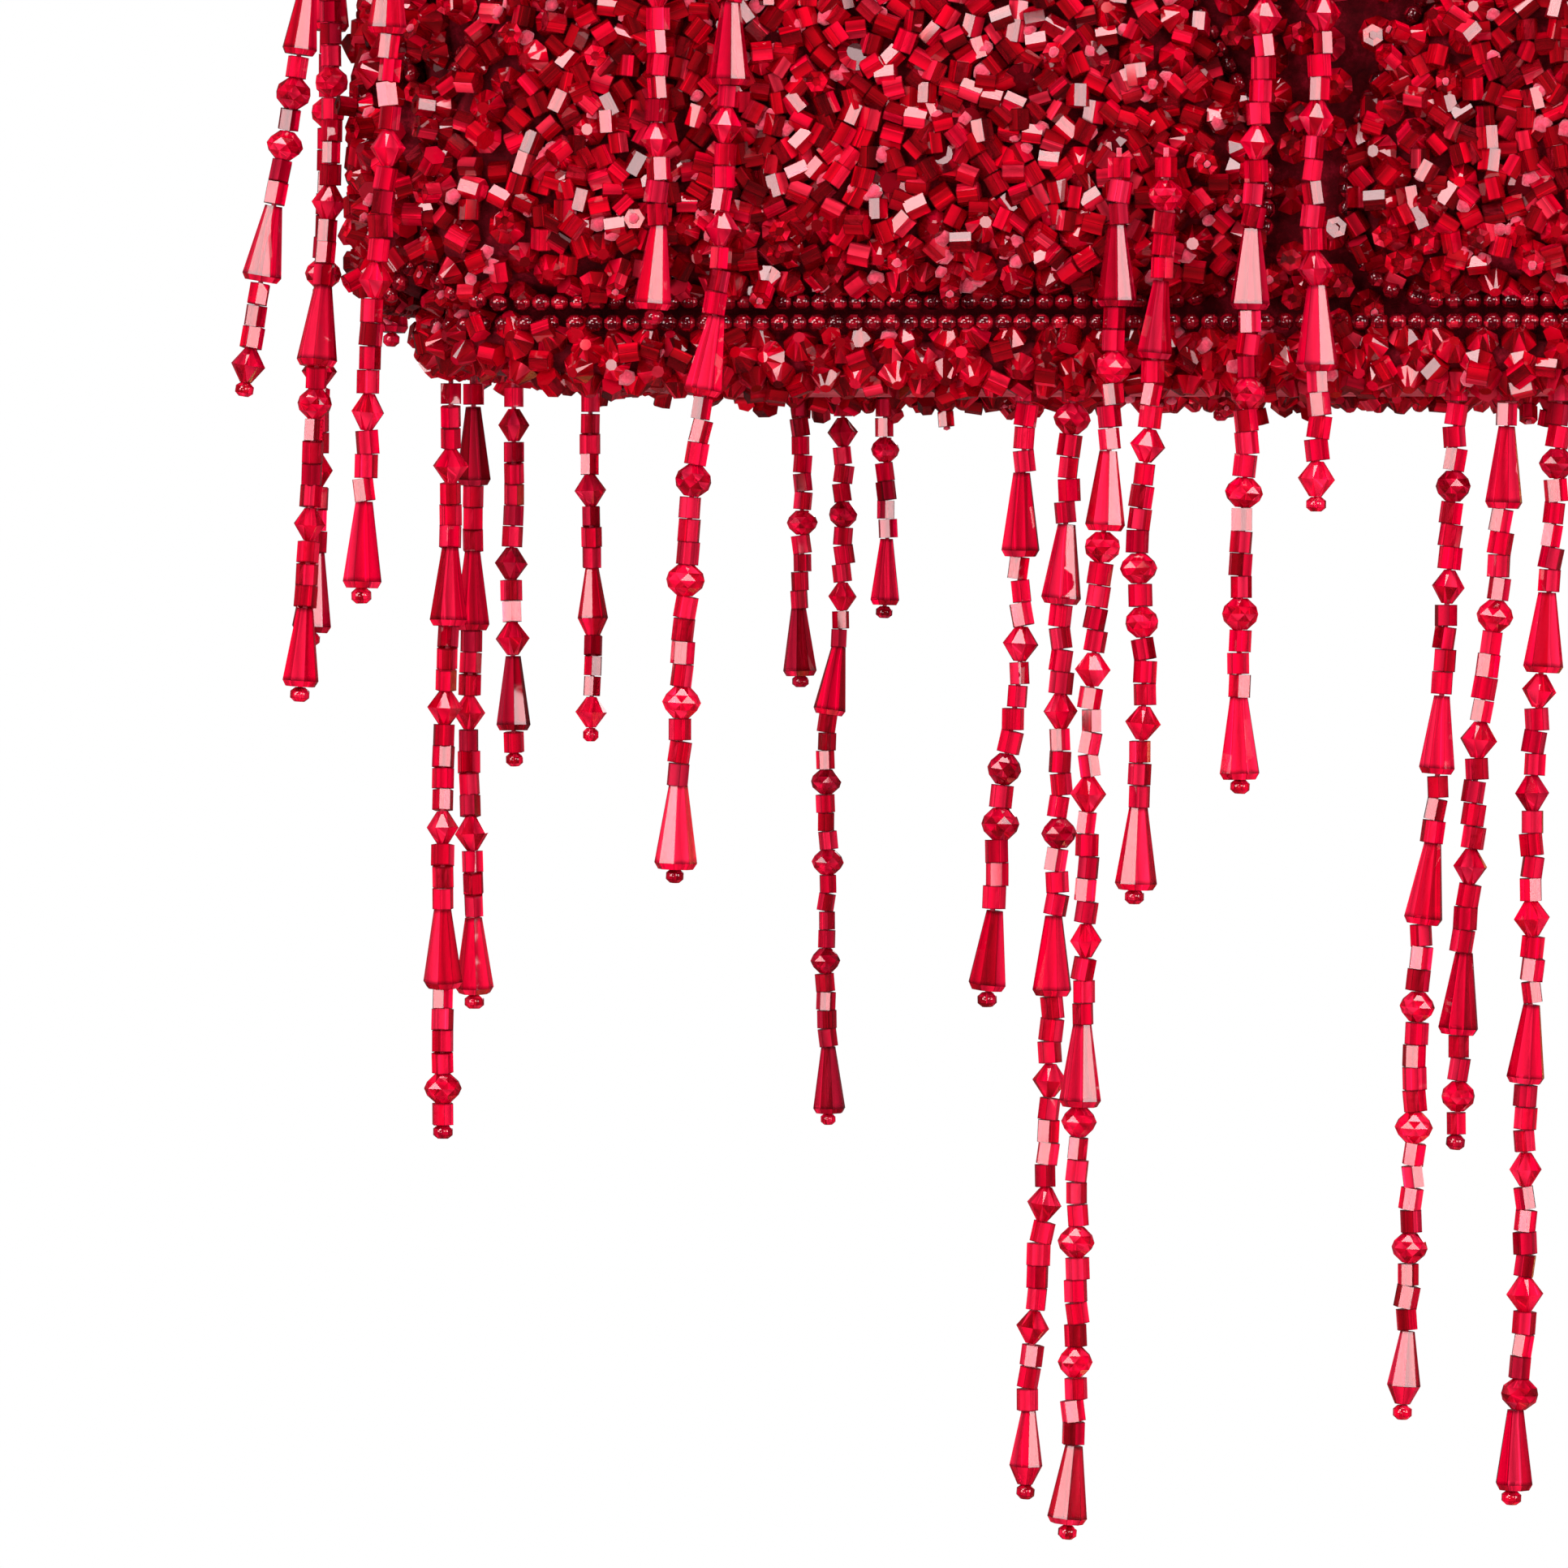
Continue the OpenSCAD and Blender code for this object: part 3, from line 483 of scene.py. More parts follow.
def ring_shape(name, rings, sides, twist=(), smooth=False, hollow=0.0):
    """A bead turned about Z from (radius, height) rings; each face keeps its own number."""
    points, faces = [], []
    for level, (radius, height) in enumerate(rings):
        shift = 0.5 if level in twist else 0.0
        for k in range(sides):
            angle = 2 * math.pi * (k + shift) / sides
            points.append((radius * math.cos(angle), radius * math.sin(angle), height))
    for level in range(len(rings) - 1):
        a, b = level * sides, (level + 1) * sides
        split = (level in twist) != (level + 1 in twist)
        for k in range(sides):
            m = (k + 1) % sides
            if not split:
                faces.append((a + k, a + m, b + m, b + k))
            elif level in twist:
                faces += [(a + k, b + m, b + k), (a + k, a + m, b + m)]
            else:
                faces += [(a + k, a + m, b + k), (a + m, b + m, b + k)]
    top = (len(rings) - 1) * sides
    faces.append(tuple(range(sides - 1, -1, -1)))
    if hollow:
        height = rings[-1][1]
        first = len(points)
        for depth in (0.0, 0.5):
            for k in range(sides):
                angle = 2 * math.pi * k / sides
                points.append((hollow * math.cos(angle), hollow * math.sin(angle), height - depth))
        for k in range(sides):
            m = (k + 1) % sides
            faces.append((top + k, top + m, first + m, first + k))
            faces.append((first + k, first + m, first + sides + m, first + sides + k))
        faces.append(tuple(range(first + sides, first + 2 * sides)))
    else:
        faces.append(tuple(range(top, top + sides)))
    mesh = bpy.data.meshes.new(name)
    mesh.from_pydata((np.array(points) * MM).tolist(), [], faces)
    mesh.polygons.foreach_set("use_smooth", [smooth] * len(mesh.polygons))
    numbers = mesh.attributes.new("facet", "FLOAT", "FACE")
    numbers.data.foreach_set("value", [float(k) for k in range(len(mesh.polygons))])
    # how far across and up its facet each corner lies: 0 and 1 at the edges; the glass paints dark
    # edges and bright lines by them
    for label, corners in (("span", {4: (0.0, 1.0, 1.0, 0.0), 3: (0.0, 1.0, 0.5)}),
                           ("rise", {4: (0.0, 0.0, 1.0, 1.0)})):
        places = [v for face in faces for v in corners.get(len(face), (0.5,) * len(face))]
        mesh.attributes.new(label, "FLOAT", "CORNER").data.foreach_set("value", places)
    return mesh


def puff_shape(name):
    """A small lumpy knot of thread."""
    shape = bmesh.new()
    bmesh.ops.create_icosphere(shape, subdivisions=1, radius=1.0)
    for vert in shape.verts:
        vert.co *= MM * (0.8 + 0.35 * noise.noise(vert.co * 2.3))
        vert.co.z *= 0.7
    mesh = bpy.data.meshes.new(name)
    shape.to_mesh(mesh)
    shape.free()
    mesh.polygons.foreach_set("use_smooth", [True] * len(mesh.polygons))
    return mesh


# Every bead, by the letter that a pattern uses for it: its mesh and its length on a thread
HEX_R = 1.23
HEX_L = 2.3
BEAD_SHAPES = [
    ("h", ring_shape("hex", [(HEX_R, -HEX_L / 2), (HEX_R, HEX_L / 2)], 6), HEX_L),
    ("e", ring_shape("hex_end", [(HEX_R, -HEX_L / 2), (HEX_R, HEX_L / 2)], 6, hollow=0.5), HEX_L),
    ("b", ring_shape("bicone", [(0.65, -1.8), (1.95, 0.0), (0.65, 1.8)], 8, twist=(1,)), 3.6),
    ("r", ring_shape("rondelle", [(0.8, -1.6), (1.75, -0.75), (2.0, 0.0), (1.75, 0.75),
                                  (0.8, 1.6)], 8, twist=(1, 3)), 3.2),
    ("C", ring_shape("cone", [(1.75, -4.25), (2.15, -3.6), (0.95, 4.25)], 8), 8.5),
    ("L", ring_shape("drop", [(0.85, -3.9), (1.85, -1.9), (0.8, 3.9)], 8), 7.8),
    ("s", ring_shape("seed", [(0.55, -0.75), (1.05, -0.35), (1.05, 0.35), (0.55, 0.75)], 8,
                     smooth=True), 1.5),
    ("q", ring_shape("sequin", [(2.0, -0.2), (2.05, -0.05), (1.1, 0.3)], 12), 0.4),
    ("p", puff_shape("puff"), 1.0),
    ("t", ring_shape("tile", [(0.62, -0.6), (0.70, 0.35), (0.60, 0.6)], 4), 1.2),
]
LETTER = {letter: k for k, (letter, _, _) in enumerate(BEAD_SHAPES)}
LENGTH = {letter: length for letter, _, length in BEAD_SHAPES}


def bead_box():
    """The bead shapes, in a collection of their own that the scene doesn't show."""
    collection = bpy.data.collections.new("bead_box")
    for k, (_, mesh, _) in enumerate(BEAD_SHAPES):
        collection.objects.link(bpy.data.objects.new(f"bead_{k:02d}", mesh))
    return collection


BEAD_BOX = bead_box()


def sewing_tree():
    """Geometry Nodes that put a bead on every point, turned and sized as the point says."""
    tree = bpy.data.node_groups.new("sew_beads", "GeometryNodeTree")
    face = tree.interface
    face.new_socket("Geometry", in_out="INPUT", socket_type="NodeSocketGeometry")
    face.new_socket("Bead box", in_out="INPUT", socket_type="NodeSocketCollection")
    face.new_socket("Finish", in_out="INPUT", socket_type="NodeSocketMaterial")
    face.new_socket("Smallest bead", in_out="INPUT", socket_type="NodeSocketFloat")
    face.new_socket("Largest bead", in_out="INPUT", socket_type="NodeSocketFloat")
    face.new_socket("Seed", in_out="INPUT", socket_type="NodeSocketInt")
    face.new_socket("Geometry", in_out="OUTPUT", socket_type="NodeSocketGeometry")
    nodes, links = tree.nodes, tree.links

    def read(name, kind):
        node = nodes.new("GeometryNodeInputNamedAttribute")
        node.data_type = kind
        node.inputs["Name"].default_value = name
        return node.outputs["Attribute"]

    given = nodes.new("NodeGroupInput")
    made = nodes.new("NodeGroupOutput")
    shapes = nodes.new("GeometryNodeCollectionInfo")
    shapes.inputs["Separate Children"].default_value = True
    shapes.inputs["Reset Children"].default_value = True
    links.new(given.outputs["Bead box"], shapes.inputs["Collection"])
    sew = nodes.new("GeometryNodeInstanceOnPoints")
    sew.inputs["Pick Instance"].default_value = True
    links.new(given.outputs["Geometry"], sew.inputs["Points"])
    links.new(shapes.outputs["Instances"], sew.inputs["Instance"])
    links.new(read("kind", "INT"), sew.inputs["Instance Index"])
    links.new(read("turn", "FLOAT_VECTOR"), sew.inputs["Rotation"])
    vary = nodes.new("FunctionNodeRandomValue")
    links.new(given.outputs["Smallest bead"], vary.inputs[2])
    links.new(given.outputs["Largest bead"], vary.inputs[3])
    links.new(given.outputs["Seed"], vary.inputs["Seed"])
    scale = nodes.new("ShaderNodeVectorMath")
    scale.operation = "SCALE"
    links.new(read("size", "FLOAT_VECTOR"), scale.inputs[0])
    links.new(vary.outputs[1], scale.inputs["Scale"])
    links.new(scale.outputs["Vector"], sew.inputs["Scale"])
    real = nodes.new("GeometryNodeRealizeInstances")
    links.new(sew.outputs["Instances"], real.inputs["Geometry"])
    paint = nodes.new("GeometryNodeSetMaterial")
    links.new(real.outputs["Geometry"], paint.inputs["Geometry"])
    links.new(given.outputs["Finish"], paint.inputs["Material"])
    links.new(paint.outputs["Geometry"], made.inputs["Geometry"])
    return tree


SEWING = sewing_tree()


def turns(axes, sides):
    """Euler angles that stand Z along each axis, with X as near as may be to each side."""
    z = axes / np.linalg.norm(axes, axis=1)[:, None]
    x = sides - (sides * z).sum(1)[:, None] * z
    x /= np.maximum(np.linalg.norm(x, axis=1), 1e-6)[:, None]
    y = np.cross(z, x)
    return np.column_stack([np.arctan2(y[:, 2], z[:, 2]),
                            np.arcsin(np.clip(-x[:, 2], -1, 1)),
                            np.arctan2(x[:, 1], x[:, 0])])


class Seats:
    """Places for beads: where each sits, the way its hole points, what it is and its tone."""

    def __init__(self, seed):
        self.chance = random.Random(seed)
        self.rows = []

    def add(self, place, axis, side, letter, size=(1.0, 1.0, 1.0), tone=None):
        tone = self.chance.random() if tone is None else tone
        self.rows.append((*place, *axis, *side, LETTER[letter], *size, tone))

    def sew(self, name, finish, body, slot, smallest=0.94, largest=1.06):
        """Makes the beads one plain mesh that rides on a body."""
        rows = np.array(self.rows)
        mesh = bpy.data.meshes.new(name)
        mesh.from_pydata((rows[:, 0:3] * MM).tolist(), [], [])
        for label, kind, values in (("turn", "FLOAT_VECTOR", turns(rows[:, 3:6], rows[:, 6:9])),
                                    ("size", "FLOAT_VECTOR", rows[:, 10:13])):
            mesh.attributes.new(label, kind, "POINT").data.foreach_set("vector", values.ravel())
        mesh.attributes.new("kind", "INT", "POINT").data.foreach_set(
            "value", rows[:, 9].astype(int))
        mesh.attributes.new("tone", "FLOAT", "POINT").data.foreach_set("value", rows[:, 13])
        seats = bpy.data.objects.new(name + "_seats", mesh)
        bpy.context.scene.collection.objects.link(seats)
        modifier = seats.modifiers.new("sewing", "NODES")
        modifier.node_group = SEWING
        values = {"Bead box": BEAD_BOX, "Finish": MATERIAL[finish], "Smallest bead": smallest,
                  "Largest bead": largest, "Seed": self.chance.randrange(1000)}
        for item in SEWING.interface.items_tree:
            if item.item_type == "SOCKET" and item.in_out == "INPUT" and item.name in values:
                modifier[item.identifier] = values[item.name]
        result = bpy.data.meshes.new_from_object(
            seats.evaluated_get(bpy.context.evaluated_depsgraph_get()))
        result.name = name
        bpy.data.objects.remove(seats)
        piece = bpy.data.objects.new(name, result)
        bpy.context.scene.collection.objects.link(piece)
        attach(piece, body)
        return piece


# ---------- the shade's plan ----------

class Loop:
    """A rounded oblong, measured in millimetres from the middle of the front, right first."""

    def __init__(self, x, y, r):
        self.r = r
        cx, cy, arc = x - r, y - r, r * math.pi / 2
        self.parts = [
            (cx, "line", (0, -y), 0), (arc, "arc", (cx, -cy), -90),
            (2 * cy, "line", (x, -cy), 90), (arc, "arc", (cx, cy), 0),
            (2 * cx, "line", (cx, y), 180), (arc, "arc", (-cx, cy), 90),
            (2 * cy, "line", (-x, cy), 270), (arc, "arc", (-cx, -cy), 180),
            (cx, "line", (-cx, -y), 0)]
        self.length = sum(part[0] for part in self.parts)
        self.middle = {"front": 0.0, "right": cx + arc + cy, "back": self.length / 2,
                       "left": self.length - (cx + arc + cy)}

    def at(self, s, out=0.0):
        """The point, and the outward way, at a distance round the loop."""
        s = s % self.length
        for length, kind, start, angle in self.parts:
            if s <= length:
                break
            s -= length
        a = math.radians(angle)
        if kind == "arc":
            a += s / self.r
            way = np.array([math.cos(a), math.sin(a), 0.0])
            return np.array([*start, 0.0]) + (self.r + out) * way, way
        way = np.array([math.sin(a), -math.cos(a), 0.0])
        return np.array([start[0] + s * math.cos(a), start[1] + s * math.sin(a), 0.0]) + out * way, way


WALL = Loop(FIELD_X, FIELD_Y, CORNER_R)
RIM = Loop(RIM_X, FIELD_Y, CORNER_R)
CROWN = Loop(CROWN_X, CROWN_Y, CROWN_R)


def flat_spot(s, z, out=0.0):
    """Place, outward way and sideways way of a spot on the plane that a panel stands on."""
    place, way = WALL.at(s, out)
    return place + z * UP, way, np.cross(UP, way)


def same_part(s, whole, other):
    """The place on another loop that matches a place on the whole one, part by part."""
    s, start = s % whole.length, 0.0
    for (length, _, _, _), (other_length, _, _, _) in zip(whole.parts, other.parts):
        if s <= length:
            return start + s / length * other_length
        s -= length
        start += other_length
    return start


def wall_spot(s, z, out=0.0, foot=HEM_FOOT):
    """The same on the wall's cloth, whose hem is drawn in at the short sides."""
    drop = min(1.0, max(0.0, (HEM_TOP - z) / (HEM_TOP - foot)))
    section = Loop(FIELD_X - (FIELD_X - RIM_X) * (1 - math.sqrt(1 - drop * drop)),
                   FIELD_Y, CORNER_R)
    place, way = section.at(same_part(s, WALL, section), out)
    return place + z * UP, way, np.cross(UP, way)


def band_spot(loop, out, height, radius):
    """The surface of a round roll that runs round a loop, by distance and angle about the roll."""
    def spot(s, turn):
        place, way = loop.at(s, out)
        normal = math.cos(turn) * way + math.sin(turn) * UP
        return place + height(place) * UP + radius * normal, normal, np.cross(UP, way)
    return spot


def dome_section(f):
    """The loop of the dome at a share of the way in, and how far round it each part goes."""
    return Loop(FIELD_X + (CROWN_X - FIELD_X) * f, FIELD_Y + (CROWN_Y - FIELD_Y) * f,
                CORNER_R + (CROWN_R - CORNER_R) * f)


def dome_point(s, t, inset=0.0):
    """A point on the dome: s as on the wall, t from 0 at the shoulder to 1 at the crown."""
    angle = math.pi / 2 * t
    share = 1 - math.cos(angle)
    section = dome_section(share)
    place = section.at(same_part(s, WALL, section), -inset * math.cos(angle))[0]
    rise = (TOP_Z - SHOULDER_Z - inset) * math.sin(angle)
    return place + (SHOULDER_Z + rise) * UP


def dome_spot(s, t):
    """Place, outward way and sideways way of a spot on the dome."""
    place = dome_point(s, t)
    side = unit(dome_point(s + 1.0, t) - dome_point(s - 1.0, t))
    rise = unit(dome_point(s, min(1.0, t + 0.01)) - dome_point(s, max(0.0, t - 0.01)))
    return place, unit(np.cross(side, rise)), side


# ---------- arch panels ----------

def arch_half(z):
    """Half the arch's width at a height above its foot."""
    if z <= ARCH_FOOT_R:
        return PANEL_W / 2 - ARCH_FOOT_R + math.sqrt(ARCH_FOOT_R ** 2 - (ARCH_FOOT_R - z) ** 2)
    if z <= ARCH_SPRING:
        return PANEL_W / 2
    share = (z - ARCH_SPRING) / (PANEL_H - ARCH_SPRING)
    return PANEL_W / 2 * max(0.0, 1 - share ** ARCH_BEND) ** ARCH_POINT


def arch_outline(steps=44):
    """The arch's edge, from the middle of its foot round to the right and over the point."""
    foot = PANEL_W / 2 - ARCH_FOOT_R
    heights = [ARCH_FOOT_R * (1 - math.cos(math.pi / 2 * k / 8)) for k in range(9)]
    heights += [ARCH_SPRING + (PANEL_H - ARCH_SPRING) * k / steps for k in range(steps + 1)]
    right = [(foot * k / 10, 0.0) for k in range(10)] + [(arch_half(z), z) for z in heights]
    left = [(-x, z) for x, z in reversed(right[1:-1])]
    return np.array(right + left)


OUTLINE = arch_outline()
OUTLINE_NEXT = np.roll(OUTLINE, -1, axis=0)


def inside_arch(a, z):
    """How far a spot lies inside the arch's edge; negative outside."""
    p = np.array([a, z])
    run = OUTLINE_NEXT - OUTLINE
    t = np.clip(((p - OUTLINE) * run).sum(1) / np.maximum((run ** 2).sum(1), 1e-9), 0, 1)
    gap = np.sqrt(((OUTLINE + t[:, None] * run - p) ** 2).sum(1)).min()
    within = 0 <= z <= PANEL_H and abs(a) < arch_half(z)
    return gap if within else -gap


def pad_rise(gap):
    """How far the wadding lifts the cloth at a distance inside the edge."""
    return PAD_DEPTH * (1 - math.exp(-max(gap, 0.0) / PAD_SHOULDER))


def panel_spot(middle):
    """The surface of the panel whose middle is at a distance round the wall."""
    def spot(a, z):
        gap = inside_arch(a, z)
        slope_a = (pad_rise(inside_arch(a + 0.3, z)) - pad_rise(inside_arch(a - 0.3, z))) / 0.6
        slope_z = (pad_rise(inside_arch(a, z + 0.3)) - pad_rise(inside_arch(a, z - 0.3))) / 0.6
        place, way, side = flat_spot(middle + a, PANEL_Z + z, pad_rise(gap))
        slope_a, slope_z = np.clip([slope_a, slope_z], -1.2, 1.2)
        return place, unit(way - slope_a * side - slope_z * UP), side
    return spot


def panel_middle(node):
    """The distance round the wall of a panel's middle."""
    side = node.split("_")[1]
    low, high = box_mm(node)
    centre = (low + high) / 2
    along = {"front": centre[0], "right": centre[1], "back": -centre[0], "left": -centre[1]}[side]
    return WALL.middle[side] + along


PANELS = {node: panel_middle(node) for node in frame["nodes"] if node.startswith("panel_")}


class Cover:
    """Keeps count of where beads already are, so that the next ones find room."""

    def __init__(self):
        self.cells = {}

    def free(self, x, y, room):
        cx, cy = int(x // 4), int(y // 4)
        for i in (cx - 1, cx, cx + 1):
            for j in (cy - 1, cy, cy + 1):
                for px, py, other in self.cells.get((i, j), ()):
                    if (px - x) ** 2 + (py - y) ** 2 < (room + other) ** 2:
                        return False
        return True

    def take(self, x, y, room):
        self.cells.setdefault((int(x // 4), int(y // 4)), []).append((x, y, room))


def tilted(chance, normal, side, most):
    """A way that leans a little off the normal, any way round."""
    other = np.cross(normal, side)
    angle = chance.uniform(0, 2 * math.pi)
    lean = chance.uniform(0, most)
    return unit(normal + lean * (math.cos(angle) * side + math.sin(angle) * other))


def sew_stalk(seats, puffs, place, normal, side, low=1.2, end_on=0.6, flat_on=0.25):
    """A bicone sewn on the cloth, often with a cut bead standing or lying on it."""
    chance = seats.chance
    axis = tilted(chance, normal, side, 0.45)
    turn = tilted(chance, side, normal, 1.0)
    seats.add(place + low * axis, axis, turn, "b")
    if chance.random() < end_on:
        seats.add(place + (low + 2.5) * axis, axis, turn, "e", (1.0, 1.0, 0.9))
        if chance.random() < 0.45:
            puffs.add(place + (low + 3.65) * axis, axis, turn, "p", (0.7, 0.7, 0.6))
    elif chance.random() < flat_on:
        flat = tilted(chance, side, np.cross(normal, side), 1.5)
        seats.add(place + (low + 1.6) * axis, flat, axis, "h")


def sew_runs(seats, cover, spot, inside, span, tries, stretch=lambda a, b: (1.0, 1.0),
             room=0.92, longest=14):
    """Cut beads lying flat in short curling rows, as they are sewn on cloth."""
    chance = seats.chance
    step = HEX_L + 0.08
    for _ in range(tries):
        a, b = chance.uniform(*span[0]), chance.uniform(*span[1])
        heading, bend = chance.uniform(0, 2 * math.pi), chance.uniform(-0.45, 0.45)
        for _ in range(chance.randint(max(1, longest // 3), longest)):
            along, up = stretch(a, b)
            if not inside(a, b) or not cover.free(a * along, b * up, room):
                break
            cover.take(a * along, b * up, room)
            place, normal, side = spot(a, b)
            over = np.cross(normal, side)
            way = math.cos(heading) * side + math.sin(heading) * over
            axis = unit(way + chance.uniform(-0.16, 0.16) * normal)
            lift = BEAD_LIE + chance.uniform(-0.25, 0.7)
            seats.add(place + lift * normal, axis, tilted(chance, normal, side, 0.7), "h")
            bend = max(-0.7, min(0.7, bend + chance.gauss(0, 0.22)))
            heading += bend
            a += step * math.cos(heading) / along
            b += step * math.sin(heading) / up


def make_pad(node, middle):
    """The padded cloth of one panel: a crowned closed form inside the arch's edge."""
    rings = (1.0, 0.985, 0.96, 0.92, 0.86, 0.77, 0.66, 0.52, 0.36, 0.2)
    centre = np.array([0.0, PANEL_H * 0.38])
    points = []
    for share in rings:
        for edge in OUTLINE:
            a, z = centre + (edge - centre) * share
            rise = pad_rise(inside_arch(a, z)) if share < 1 else 0.0
            ripple = 0.35 * noise.noise(Vector((a * 0.12, z * 0.12, middle * 0.1)))
            points.append(flat_spot(middle + a, PANEL_Z + z, rise * (1 + 0.1 * ripple) + 0.05)[0])
    count = len(OUTLINE)
    faces = grid_faces(len(rings), count, True)
    for share, rise, last in ((0.0, PAD_DEPTH, (len(rings) - 1) * count), (0.0, 0.0, 0)):
        hub = len(points)
        points.append(flat_spot(middle, PANEL_Z + centre[1], rise + 0.05)[0])
        for k in range(count):
            m = (k + 1) % count
            faces.append((last + k, last + m, hub) if rise else (last + m, last + k, hub))
    pad = add_piece(node.replace("panel_", "pad_"), points, faces, MATERIAL["cloth"], smooth=True)
    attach(pad, "shade")
    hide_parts(node)


def make_panel(node, middle, seed):
    """One panel: its pad, stalks near the edge, sequins and curling rows of cut beads."""
    make_pad(node, middle)
    spot = panel_spot(middle)
    beads, puffs, sequins = Seats(seed), Seats(seed + 1), Seats(seed + 2)
    chance, cover = beads.chance, Cover()
    span = ((-PANEL_W / 2, PANEL_W / 2), (0.0, PANEL_H))
    for _ in range(2600):
        a, z = chance.uniform(*span[0]), chance.uniform(*span[1])
        gap = inside_arch(a, z)
        border = 1.6 < gap < 7.5
        if gap < 1.6 or not (border or chance.random() < 0.012):
            continue
        if cover.free(a, z, 1.35):
            cover.take(a, z, 1.3)
            sew_stalk(beads, puffs, *spot(a, z), low=0.9, end_on=0.3)
    for _ in range(34):
        a, z = chance.uniform(*span[0]), chance.uniform(*span[1])
        if inside_arch(a, z) > 6 and cover.free(a, z, 0.9):
            cover.take(a, z, 0.9)
            place, normal, side = spot(a, z)
            sequins.add(place + 1.5 * normal, tilted(chance, normal, side, 0.9), side, "q")
    sew_runs(beads, cover, spot, lambda a, z: inside_arch(a, z) > 1.2, span, 5200)
    sew_runs(beads, cover, spot, lambda a, z: inside_arch(a, z) > 0.9, span, 9000,
             room=0.66, longest=2)
    for _ in range(280):
        a, z = chance.uniform(*span[0]), chance.uniform(*span[1])
        if inside_arch(a, z) > 2:
            place, normal, side = spot(a, z)
            puffs.add(place + 1.7 * normal, normal, side, "p", (1.3, 1.1, 1.1))
    label = node.replace("panel_", "")
    beads.sew(f"beads_{label}", "panel_beads", "shade", "bead_panel")
    sequins.sew(f"sequins_{label}", "sequins", "shade", "bead_panel")
    puffs.sew(f"tufts_{label}", "thread", "shade", "bead_panel", 0.7, 1.2)


# ---------- wall, dome, bands and piping ----------

# Room that a stalk takes on the wall or a roll, and that a panel's piping takes round it
STALK_ROOM = 1.5
PIPING_ROOM = 2.4


def nearest_panel(s, z):
    """How far a spot on the wall lies inside the nearest panel's edge."""
    return max(inside_arch((s - middle + WALL.length / 2) % WALL.length - WALL.length / 2,
                           z - PANEL_Z) for middle in PANELS.values())


def make_valleys():
    """The wall between the arches, filled with stalks that stand on it."""
    for part, seed in (("front", 901), ("right", 902), ("back", 903), ("left", 904)):
        beads, puffs = Seats(seed), Seats(seed + 20)
        chance, cover = beads.chance, Cover()
        half = FIELD_X if part in ("front", "back") else FIELD_Y
        reach = half - CORNER_R + CORNER_R * math.pi / 4
        middle = WALL.middle[part]
        top = SHOULDER_Z - 5.0
        for _ in range(9000):
            s, z = middle + chance.uniform(-reach, reach), chance.uniform(PANEL_Z - 1, top)
            if cover.free(s, z, STALK_ROOM) and nearest_panel(s, z) < -PIPING_ROOM:
                cover.take(s, z, STALK_ROOM)
                sew_stalk(beads, puffs, *wall_spot(s, z), low=1.7, end_on=0.75)
        beads.sew(f"beads_valley_{part}", "panel_beads", "shade", "bead_panel")
        puffs.sew(f"tufts_valley_{part}", "thread", "shade", "bead_panel", 0.7, 1.2)


def make_roll(name, node, loop, out, z, radius, seed, turn_low, turn_high, low, lift=0.0):
    """A padded roll round the shade, sewn with bicones and cut beads; it lifts at the ends."""
    core = radius - 2.2
    straight = loop.parts[0][0]

    def height(place):
        return z + lift * min(1.0, max(0.0, (abs(place[0]) - straight + 2) / 12)) ** 1.5

    columns, sides = 260, 14
    points = []
    for k in range(columns):
        place, way = loop.at(loop.length * k / columns, out)
        for j in range(sides):
            angle = 2 * math.pi * j / sides
            swell = core * (1 + 0.06 * noise.noise(Vector((place[0] * 0.1, place[1] * 0.1, j))))
            points.append(place + height(place) * UP
                          + swell * (math.cos(angle) * way + math.sin(angle) * UP))
    faces = []
    for k in range(columns):
        a, b = k * sides, (k + 1) % columns * sides
        for j in range(sides):
            m = (j + 1) % sides
            faces.append((a + j, b + j, b + m, a + m))
    roll = add_piece(name, points, faces, MATERIAL["cloth"], smooth=True)
    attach(roll, "shade")
    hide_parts(node)
    beads, puffs = Seats(seed), Seats(seed + 1)
    chance, cover = beads.chance, Cover()
    spot = band_spot(loop, out, height, core)
    for _ in range(int(loop.length * 12)):
        s, turn = chance.uniform(0, loop.length), chance.uniform(turn_low, turn_high)
        if cover.free(s, turn * radius, STALK_ROOM):
            cover.take(s, turn * radius, STALK_ROOM)
            sew_stalk(beads, puffs, *spot(s, turn), low=low, end_on=0.06, flat_on=0.1)
    sew_runs(beads, cover, spot, lambda s, turn: turn_low <= turn <= turn_high,
             ((0, loop.length), (turn_low, turn_high)), int(loop.length * 12),
             lambda s, turn: (1.0, radius), room=0.92, longest=3)
    for _ in range(int(loop.length / 5)):
        s, turn = chance.uniform(0, loop.length), chance.uniform(turn_low, turn_high)
        place, normal, side = spot(s, turn)
        puffs.add(place + 1.2 * normal, normal, side, "p", (1.2, 1.2, 1.0))
    beads.sew(f"beads_{name}", "panel_beads", "shade", "bead_band")
    puffs.sew(f"tufts_{name}", "thread", "shade", "bead_band", 0.7, 1.2)


def solid_sheet(name, rows, closed, thickness, material):
    """A sheet of cloth from rows of points, given its thickness inwards."""
    columns = len(rows[0])
    sheet = add_piece(name, [p for row in rows for p in row],
                      grid_faces(len(rows), columns, closed), material, smooth=True)
    wall = sheet.modifiers.new("thickness", "SOLIDIFY")
    wall.thickness = thickness * MM
    wall.offset = -1.0
    result = bpy.data.meshes.new_from_object(
        sheet.evaluated_get(bpy.context.evaluated_depsgraph_get()))
    sheet.modifiers.clear()
    sheet.data = result
    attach(sheet, "shade")
    return sheet


